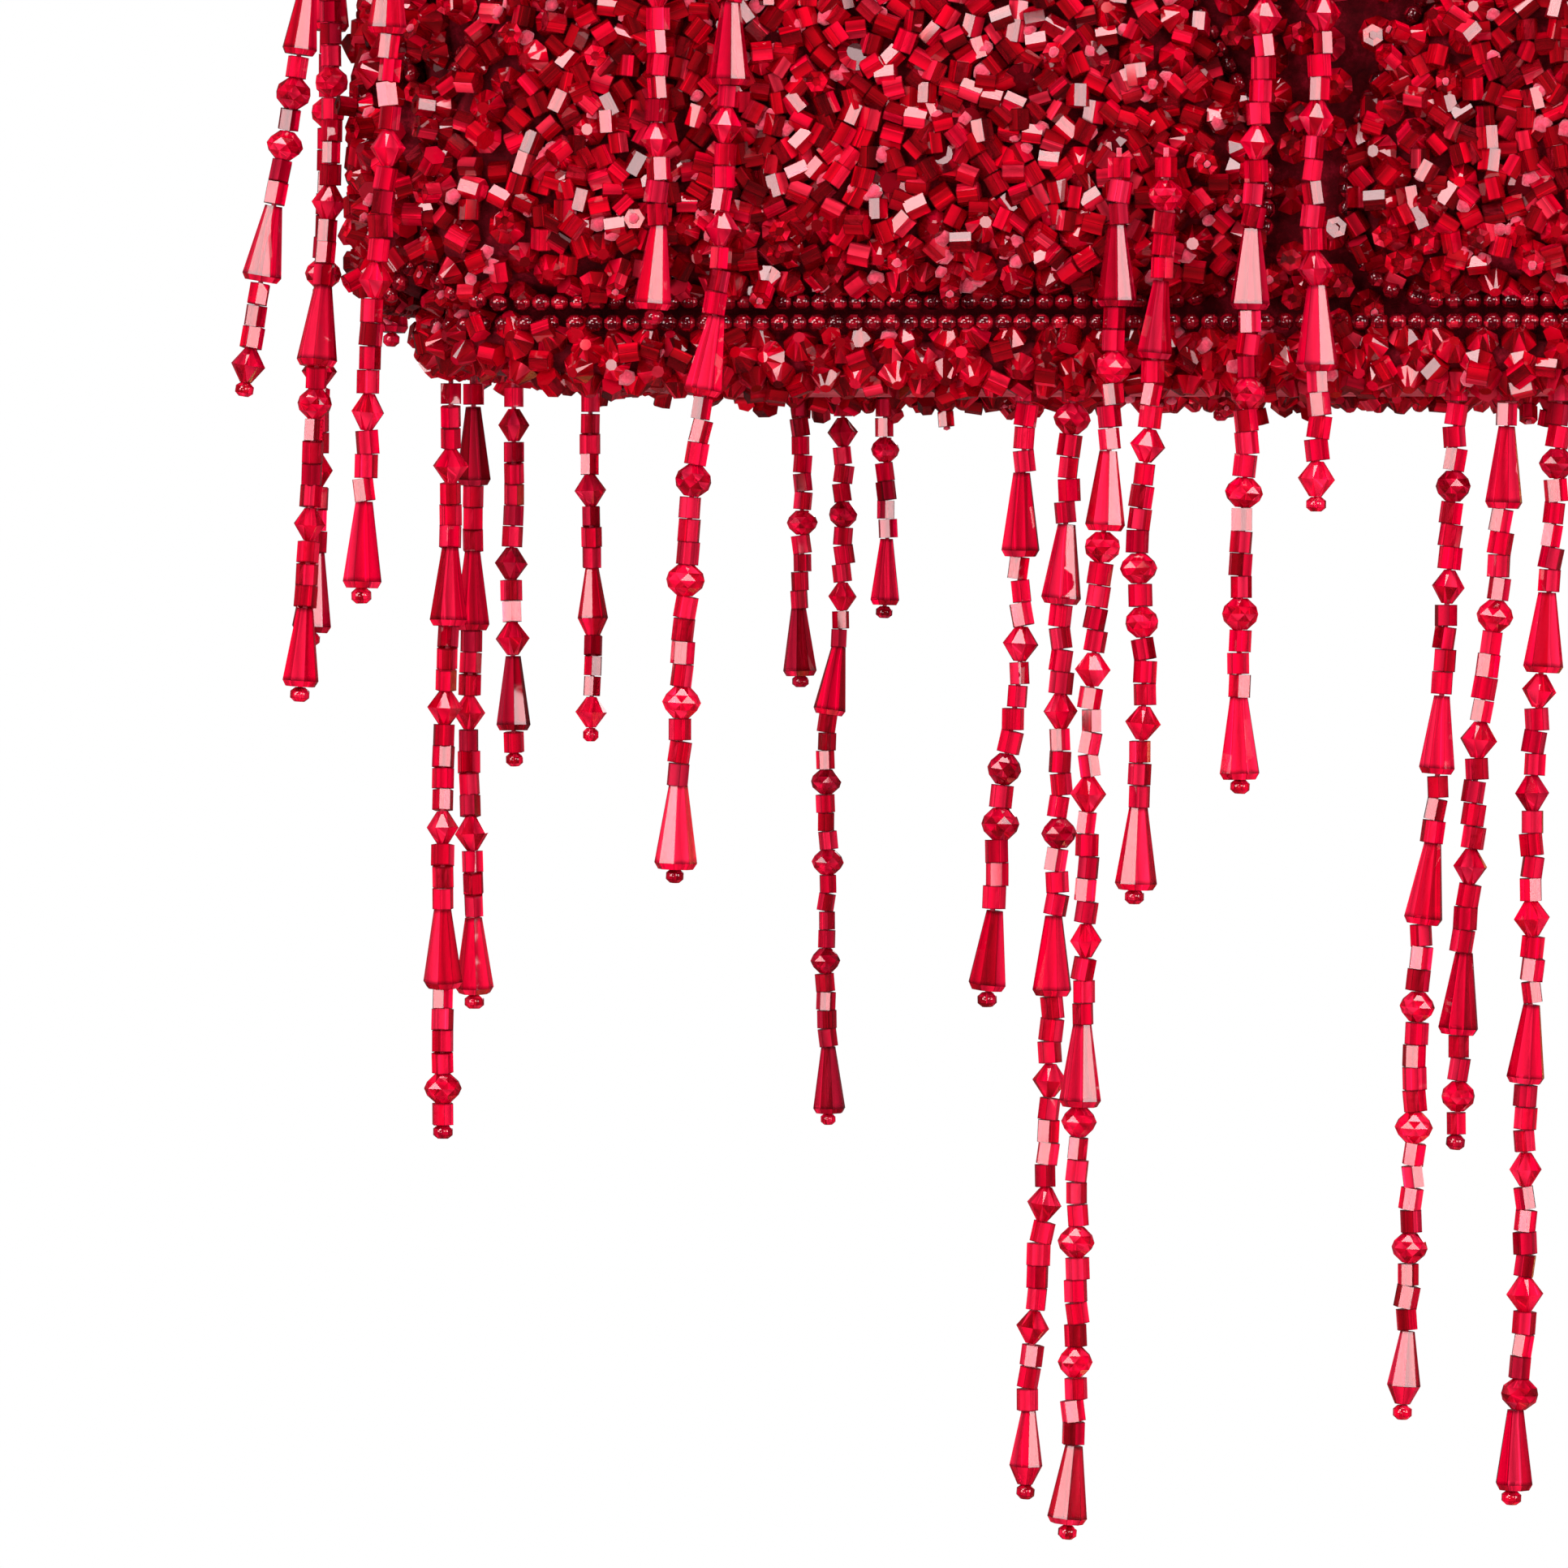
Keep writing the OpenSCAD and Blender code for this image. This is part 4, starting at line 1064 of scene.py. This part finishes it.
def make_wall_cover(around):
    """The wall's cloth, drawn tight over the wires and tucked in behind the rim's roll."""
    # The hem's edge lies behind the middle of the rim's roll
    tuck = RIM_Z + RIM_R
    heights = [tuck, (tuck + HEM_FOOT) / 2]
    heights += [HEM_TOP - (HEM_TOP - HEM_FOOT) * math.cos(math.pi / 12 * k) for k in range(7)]
    heights += [HEM_TOP + (SHOULDER_Z - 4.2 - HEM_TOP) * k / 8 for k in range(1, 9)]

    def cloth_spot(s, z):
        return wall_spot(s, z, -0.1 + 0.2 * noise.noise(Vector((s * 0.05, z * 0.1, 0))))[0]

    wall = solid_sheet("wall_cover", [[cloth_spot(s, z) for s in around] for z in heights],
                       True, COVER_THICK, MATERIAL["cloth"])
    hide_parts("wall_cloth")


def make_dome_cover(around):
    """The dome's cloth, one piece stretched from the shoulder to the crown."""
    rows = 22
    dome = solid_sheet("dome_cover", [[dome_point(s, k / rows, 0.1) for s in around]
                       for k in range(rows + 1)], True, COVER_THICK, MATERIAL["cloth"])
    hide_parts("dome_cloth")


def make_lining():
    """The satin inside, gathered in small pleats up the wall and over the dome."""
    points_a_pleat, pleats = 6, 120
    columns = pleats * points_a_pleat
    wall_rows, dome_rows = 14, 20
    rows = []
    for k in range(wall_rows + dome_rows):
        row = []
        for j in range(columns):
            s = WALL.length * j / columns
            fold = 0.45 * math.sin(2 * math.pi * j / points_a_pleat) * min(1.0, 0.3 + k / 8)
            if k < wall_rows:
                z = RIM_Z + LINING_LOW + (SHOULDER_Z - RIM_Z - LINING_LOW) * k / wall_rows
                row.append(wall_spot(s, z, -LINING_IN + fold, LINING_HEM)[0])
            else:
                t = (k - wall_rows) / (dome_rows - 0.5)
                row.append(dome_point(s, min(t, 0.985), LINING_IN + fold))
        rows.append(row)
    lining = solid_sheet("gathered_lining", rows, True, LINING_THICK, MATERIAL["lining"])
    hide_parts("lining")


def make_dome_beads():
    """Curling rows of cut beads over the whole dome, a quarter of it to a piece."""
    quarter = WALL.length / 4
    for k in range(4):
        seats = Seats(950 + k)
        start = quarter * k

        def stretch(s, t):
            angle = math.pi / 2 * t
            share = 1 - math.cos(angle)
            rise = math.hypot((FIELD_X - CROWN_X) * 0.75 * math.sin(angle),
                              (TOP_Z - SHOULDER_Z) * math.cos(angle)) * math.pi / 2
            return dome_section(share).length / WALL.length, rise

        sew_on_dome(seats, start, quarter, stretch)
        seats.sew(f"beads_dome_{k + 1}", "panel_beads", "shade", "bead_panel")


def sew_on_dome(seats, start, quarter, stretch):
    """Rows of cut beads, kept apart in space because the dome narrows as it rises."""
    chance, cells = seats.chance, {}
    step, room = HEX_L + 0.12, 1.95

    def free(place):
        cell = tuple(int(v // 2) for v in place)
        for i in (-1, 0, 1):
            for j in (-1, 0, 1):
                for k in (-1, 0, 1):
                    for other in cells.get((cell[0] + i, cell[1] + j, cell[2] + k), ()):
                        if sum((a - b) ** 2 for a, b in zip(other, place)) < room * room:
                            return False
        return True

    for _ in range(6500):
        s, t = start + chance.uniform(0, quarter), math.sqrt(chance.uniform(0.0, 1.0))
        t = 1 - t if chance.random() < 0.35 else t
        heading, bend = chance.uniform(0, 2 * math.pi), chance.uniform(-0.45, 0.45)
        for _ in range(chance.randint(5, 14)):
            if not (start <= s < start + quarter and 0.07 < t < 0.97):
                break
            place = dome_point(s, t)
            if not free(place):
                break
            cells.setdefault(tuple(int(v // 2) for v in place), []).append(place)
            place, normal, side = dome_spot(s, t)
            way = math.cos(heading) * side + math.sin(heading) * np.cross(normal, side)
            seats.add(place + (0.9 + chance.uniform(-0.2, 0.6)) * normal,
                      unit(way + chance.uniform(-0.16, 0.16) * normal),
                      tilted(chance, normal, side, 0.7), "h")
            along, up = stretch(s, t)
            bend = max(-0.7, min(0.7, bend + chance.gauss(0, 0.22)))
            heading += bend
            s += step * math.cos(heading) / along
            t += step * math.sin(heading) / up


def make_piping():
    """Rows of small dark beads: one round each panel and one along the top of the rim."""
    seats, pitch = Seats(970), 2.0
    run = OUTLINE_NEXT - OUTLINE
    lengths = np.sqrt((run ** 2).sum(1))
    total = lengths.sum()
    marks = np.concatenate([[0.0], np.cumsum(lengths)])
    closed = np.vstack([OUTLINE, OUTLINE[:1]])
    count = int(total / pitch)
    for middle in PANELS.values():
        spots = []
        for k in range(count):
            at = total * k / count
            a, z = np.interp(at, marks, closed[:, 0]), np.interp(at, marks, closed[:, 1])
            grow = 0.75 if z > 1 else 0.0
            a, z = a + grow * np.sign(a), z - 0.75 * max(0.0, 1 - z / 6)
            spots.append(flat_spot(middle + a, PANEL_Z + z, 1.6 + 2.2 * max(0.0, 1 - z / 8))[0])
        for k, place in enumerate(spots):
            axis = spots[(k + 1) % count] - spots[k - 1]
            seats.add(place, axis, UP + 0.01, "s", (0.86, 0.86, 1.2))
    count = int(RIM.length / pitch)
    for k in range(count):
        place, way = RIM.at(RIM.length * k / count, 5.4)
        seats.add(place + (RIM_HIGH[2] - 0.4) * UP, np.cross(UP, way), UP, "s", (0.86, 0.86, 1.2))
    piece = seats.sew("seed_rows", "seed_beads", "shade", "seed_beads", 0.95, 1.05)
    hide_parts("piping")


# ---------- strands ----------

# Beads of the strands that hang in front, each from its tip up: h cut, b bicone, r round,
# C cone, L drop, s stop bead. The rest of a strand repeats a common run.
PATTERNS = {
    "rim_fringe_front_left": ["sChhhrhrhhhhbhhhC", "sLhhhbhhhhbhhhhbhhhChhhrhhhhbhhhhC"],
    "low_fringe_front": ["sChhhrhhhhrhhhhrChhhbhhhhhbhhhhbhhhhrChhhrhhCh",
                         "sChhhbhhhrhrhhhhbhhhChhhr"],
    "rim_fringe_front_middle": ["sLhhhrhhhhrhhhhrhhhChhhC", "shrhhChhhbhhhhbhhhhrhhhhC",
                                "sCrhhhbhhhhbhhhChhhbhhhhbhhhbChh"],
    "rim_fringe_left": ["shrhhhhChhhbhhhhbhhhChhhb", "sChhhbhhhhbhhhC", "shCbhhbhh", "sbhhhLhhhbh"],
    "rim_fringe_back": ["sChhhhrhh", "sChhhhrhhhhrhhhrhhhChhbhhhr", "sChhhhr"],
    "shoulder_fringe_front": ["sChhhbhhhhbhhhhbhhhhCh", "sChhhbhhhhhbhhh",
                              "sChhhrhhhhrhhhrhhhChhhbhhhbhC", "sChhhrhhhhrhhhrhhhChhhbhhhhb",
                              "sbhhhhCbhhhhhb", "sChhhb"],
    "shoulder_fringe_left": ["sbhhhChhrhrhC", "sChhhbhhhhrhC", "sChhhbhhhbhhhrhh"],
}
COMMON_RUNS = ["hhhb", "hhhr", "hhhhb", "hhhC", "hhhhr"]
# How far a fringe's tips lean away from the shade
LEAN = {"shoulder_fringe_left": 3.0, "shoulder_fringe_right": 3.0}


def strand_ends(node):
    """The top and tip of every strand in a fringe node, in order along its wall."""
    shape = bmesh.new()
    shape.from_mesh(frame["nodes"][node].data)
    bmesh.ops.remove_doubles(shape, verts=shape.verts, dist=1e-6)
    shape.verts.ensure_lookup_table()
    seen, ends = set(), []
    for first in shape.verts:
        if first.index in seen:
            continue
        island, queue = [], [first]
        seen.add(first.index)
        while queue:
            vert = queue.pop()
            island.append(vert.co)
            for edge in vert.link_edges:
                other = edge.other_vert(vert)
                if other.index not in seen:
                    seen.add(other.index)
                    queue.append(other)
        points = np.array(island) / MM
        heights = points[:, 2]
        top = points[heights > heights.max() - 0.8].mean(0)
        tip = points[heights < heights.min() + 0.4].mean(0)
        ends.append((top, tip))
    shape.free()
    long_wall = abs(ends[0][0][1]) > FIELD_Y - 10 and ("front" in node or "back" in node)
    return sorted(ends, key=lambda pair: pair[0][0] if long_wall else pair[0][1])


def strand_letters(pattern, length, chance):
    """A strand's beads from its tip up, as many as fit its length."""
    letters = list(pattern) if pattern else list("s" + chance.choice("CCCL"))
    while sum(LENGTH[k] + 0.1 for k in letters) < length:
        letters += list(chance.choice(COMMON_RUNS))
    while sum(LENGTH[k] + 0.1 for k in letters) > length + 0.6:
        letters.pop()
    return letters


def make_strand(seats, threads, top, tip, pattern, outward, lean=0.0):
    """Beads threaded on a line that hangs with slight kinks, its tip leaning out a little."""
    chance = seats.chance
    down = tip - top
    length = np.linalg.norm(down)
    letters = strand_letters(pattern, length, chance)
    gap = 0.06
    fit = (length - gap * len(letters)) / sum(LENGTH[k] for k in letters)
    side = unit(np.cross(down, outward))
    phases = [chance.uniform(0, 2 * math.pi) for _ in range(4)]
    sway = min(1.0, length / 90) * chance.uniform(0.5, 1.0)

    def line(at):
        """The thread's place at a distance up from the tip."""
        u = 1 - at / length
        hang = math.sin(math.pi * u) * sway + 0.12 * u
        offset = hang * (1.1 * math.sin(5.2 * u + phases[0]) + 0.35 * math.sin(17 * u + phases[1]))
        deep = hang * (0.6 * math.sin(4.1 * u + phases[2]) + 0.2 * math.sin(15 * u + phases[3]))
        return tip + (top - tip) * (at / length) + offset * side + (deep + lean * u * u) * outward

    at = 0.0
    for letter in letters:
        size = LENGTH[letter] * fit
        low, high = line(at), line(min(at + size, length))
        spin = tilted(chance, side, outward, 2.0)
        loose = 0.16 if letter == "h" else 0.06
        axis = unit(unit(high - low) + loose * chance.uniform(-1, 1) * side)
        place = (low + high) / 2 + loose * chance.uniform(-1, 1) * side
        wide = chance.uniform(0.93, 1.05)
        seats.add(place, axis, spin, letter, (wide, wide, fit))
        at += size + gap
    centre = [line(length * k / 40) for k in range(41)]
    seats.add(top + 1.3 * UP, UP, side, "h")
    threads.append(centre + [top + 3.4 * UP])


def thread_tubes(name, lines, body):
    """The threads themselves, as thin six-sided tubes."""
    radius, points, faces = 0.3, [], []
    for line in lines:
        first = len(points)
        for k, place in enumerate(line):
            ahead = unit(line[min(k + 1, len(line) - 1)] - line[max(k - 1, 0)])
            side = unit(np.cross(ahead, [0.31, 0.95, 0.0]))
            other = np.cross(ahead, side)
            for j in range(6):
                angle = math.pi / 3 * j
                points.append(place + radius * (math.cos(angle) * side + math.sin(angle) * other))
        faces += [tuple(first + v for v in face) for face in grid_faces(len(line), 6, True)]
        last = first + (len(line) - 1) * 6
        faces.append(tuple(range(first + 5, first - 1, -1)))
        faces.append(tuple(range(last, last + 6)))
    piece = add_piece(name, points, faces, MATERIAL["thread"], smooth=True)
    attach(piece, body)


def make_fringe(node, seed):
    """One fringe: beads and threads for each of its strands."""
    seats, lines = Seats(seed), []
    patterns = PATTERNS.get(node, [])
    side = node.split("fringe_")[1].split("_")[0]
    outward = {"front": (0, -1, 0), "back": (0, 1, 0), "right": (1, 0, 0), "left": (-1, 0, 0)}[side]
    for k, (top, tip) in enumerate(strand_ends(node)):
        pattern = patterns[k] if k < len(patterns) else ""
        make_strand(seats, lines, top, tip, pattern, np.array(outward, dtype=float),
                    LEAN.get(node, 0.0))
    piece = seats.sew(f"beads_{node}", "strand_beads", node, "strand_beads", 0.96, 1.04)
    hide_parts(node)
    thread_tubes(f"threads_{node}", lines, node)


# ---------- base, socket and fittings ----------

FINISH = {
    "brass": ["foot", "lower_collar", "upper_collar", "stem", "check_ring", "harp_saddle",
              "saddle_posts", "harp", "harp_stud", "ferrule_left", "ferrule_right",
              "socket_cap", "socket_shell", "finial", "spider", "screw_shell",
              "centre_contact", "rod_nut"],
    "steel": ["rod_washer", "lamp_rod", "switch_shaft", "frame_rings", "frame_ribs", "bulb_cap"],
    "iron": ["ballast"],
    "rubber": ["cord_bushing"],
    "grout": ["urn_core"],
    "board": ["socket_liner"],
    "porcelain": ["socket_core"],
    "knob": ["switch_knob"],
    "bulb": ["bulb_glass"],
}


def finish_cad_nodes():
    """Gives every CAD node that stays its own worked material."""
    for finish, nodes in FINISH.items():
        for node in nodes:
            mesh = frame["nodes"][node].data
            mesh.materials.clear()
            mesh.materials.append(MATERIAL[finish])


def make_felt():
    """The felt disc under the foot, with a soft rounded edge."""
    low, high = box_mm("felt_pad")
    radius, thick = high[0], high[2] - low[2]
    profile = [(0.0, 0.0), (radius * 0.5, 0.0), (radius - 1.2, 0.0), (radius - 0.3, thick * 0.2),
               (radius, thick * 0.5), (radius - 0.3, thick * 0.8), (radius - 1.2, thick),
               (radius * 0.5, thick), (0.0, thick)]
    sides, points = 96, []
    for r, z in profile[1:-1]:
        for k in range(sides):
            angle = 2 * math.pi * k / sides
            ragged = r * (1 + 0.002 * noise.noise(Vector((k * 0.7, z, r))))
            points.append((ragged * math.cos(angle), ragged * math.sin(angle), z))
    faces = grid_faces(len(profile) - 2, sides, True)
    for z, ring in ((0.0, 0), (thick, (len(profile) - 3) * sides)):
        points.append((0.0, 0.0, z))
        hub = len(points) - 1
        for k in range(sides):
            m = (k + 1) % sides
            faces.append((ring + m, ring + k, hub) if z == 0 else (ring + k, ring + m, hub))
    felt = add_piece("felt_disc", points, faces, MATERIAL["felt"], smooth=True)
    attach(felt, "base")
    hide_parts("felt_pad")


def urn_radius(z):
    """The urn's outer radius at a height, read from its core."""
    return float(np.interp(z, URN[:, 1], URN[:, 0]))


def urn_profile():
    """The urn core's outline: its radius at each height where its mesh has points."""
    mesh = frame["nodes"]["urn_core"].data
    points = np.array([v.co[:] for v in mesh.vertices]) / MM
    radii = np.hypot(points[:, 0], points[:, 1])
    heights = np.unique(points[:, 2].round(3))
    return np.array([(radii[abs(points[:, 2] - z) < 0.01].max(), z) for z in heights])


URN = urn_profile()


def make_mosaic():
    """Rows of small glass pieces set in the urn's grout, with an amber lattice."""
    seats = Seats(990)
    row_pitch, tile_pitch, lozenges = 4.7, 4.9, 8
    z = URN[0, 1] + 2.6
    row = 0
    while z < URN[-1, 1] - 2.0:
        radius = urn_radius(z)
        slope = urn_radius(z + 0.5) - urn_radius(z - 0.5)
        lean = math.atan(slope)
        count = max(8, round(2 * math.pi * radius / tile_pitch))
        width = 2 * math.pi * radius / count
        for k in range(count):
            angle = 2 * math.pi * (k + 0.5 * (row % 2)) / count
            way = np.array([math.cos(angle), math.sin(angle), 0.0])
            side = np.cross(UP, way)
            normal = unit(way - slope * UP)
            rise = unit(np.cross(normal, side))
            phase = (angle * lozenges / (2 * math.pi) + (row % 6) / 6) % 1.0
            other = (angle * lozenges / (2 * math.pi) - (row % 6) / 6) % 1.0
            amber = min(phase, other) < 0.13
            tone = seats.chance.uniform(0.68, 0.95) if amber else seats.chance.uniform(0.05, 0.62)
            # the tile shape's corners lie along its own X and Y, so its edges lie diagonally
            corner = unit(side + rise)
            seats.add(way * radius + z * UP + 0.35 * normal, normal, corner, "t",
                      (width * 0.93, width * 0.93, 1.0), tone)
        z += row_pitch * math.cos(lean)
        row += 1
    seats.sew("urn_mosaic", "tiles", "base", "mosaic_glass", 0.93, 1.0)


# ---------- the lamp ----------

add_camera()
add_studio()
add_floor(MATERIAL["floor"])
finish_cad_nodes()
make_felt()
make_mosaic()
columns_round = [WALL.length * k / 240 for k in range(240)]
make_wall_cover(columns_round)
make_dome_cover(columns_round)
make_lining()
for number, (node, middle) in enumerate(sorted(PANELS.items())):
    make_panel(node, middle, 100 + 10 * number)
make_valleys()
make_roll("rim_roll", "rim_band", RIM, RIM_OUT, RIM_Z + RIM_R, RIM_R, 920,
          math.radians(-150), math.radians(62), 0.5, lift=2.4)
make_roll("shoulder_roll", "shoulder_band", WALL, SHOULDER_R, SHOULDER_Z, SHOULDER_R, 930,
          math.radians(-75), math.radians(130), 0.7)
make_roll("crown_roll", "crown_band", CROWN, CROWN_OUT, (CROWN_LOW[2] + CROWN_HIGH[2]) / 2,
          CROWN_BAND_R, 940, math.radians(-10), math.radians(150), 0.4)
make_dome_beads()
make_piping()
for number, node in enumerate(sorted(n for n in frame["nodes"] if "_fringe_" in n)):
    make_fringe(node, 1000 + 10 * number)

for shape in list(BEAD_BOX.objects):
    bpy.data.objects.remove(shape)
bpy.data.collections.remove(BEAD_BOX)
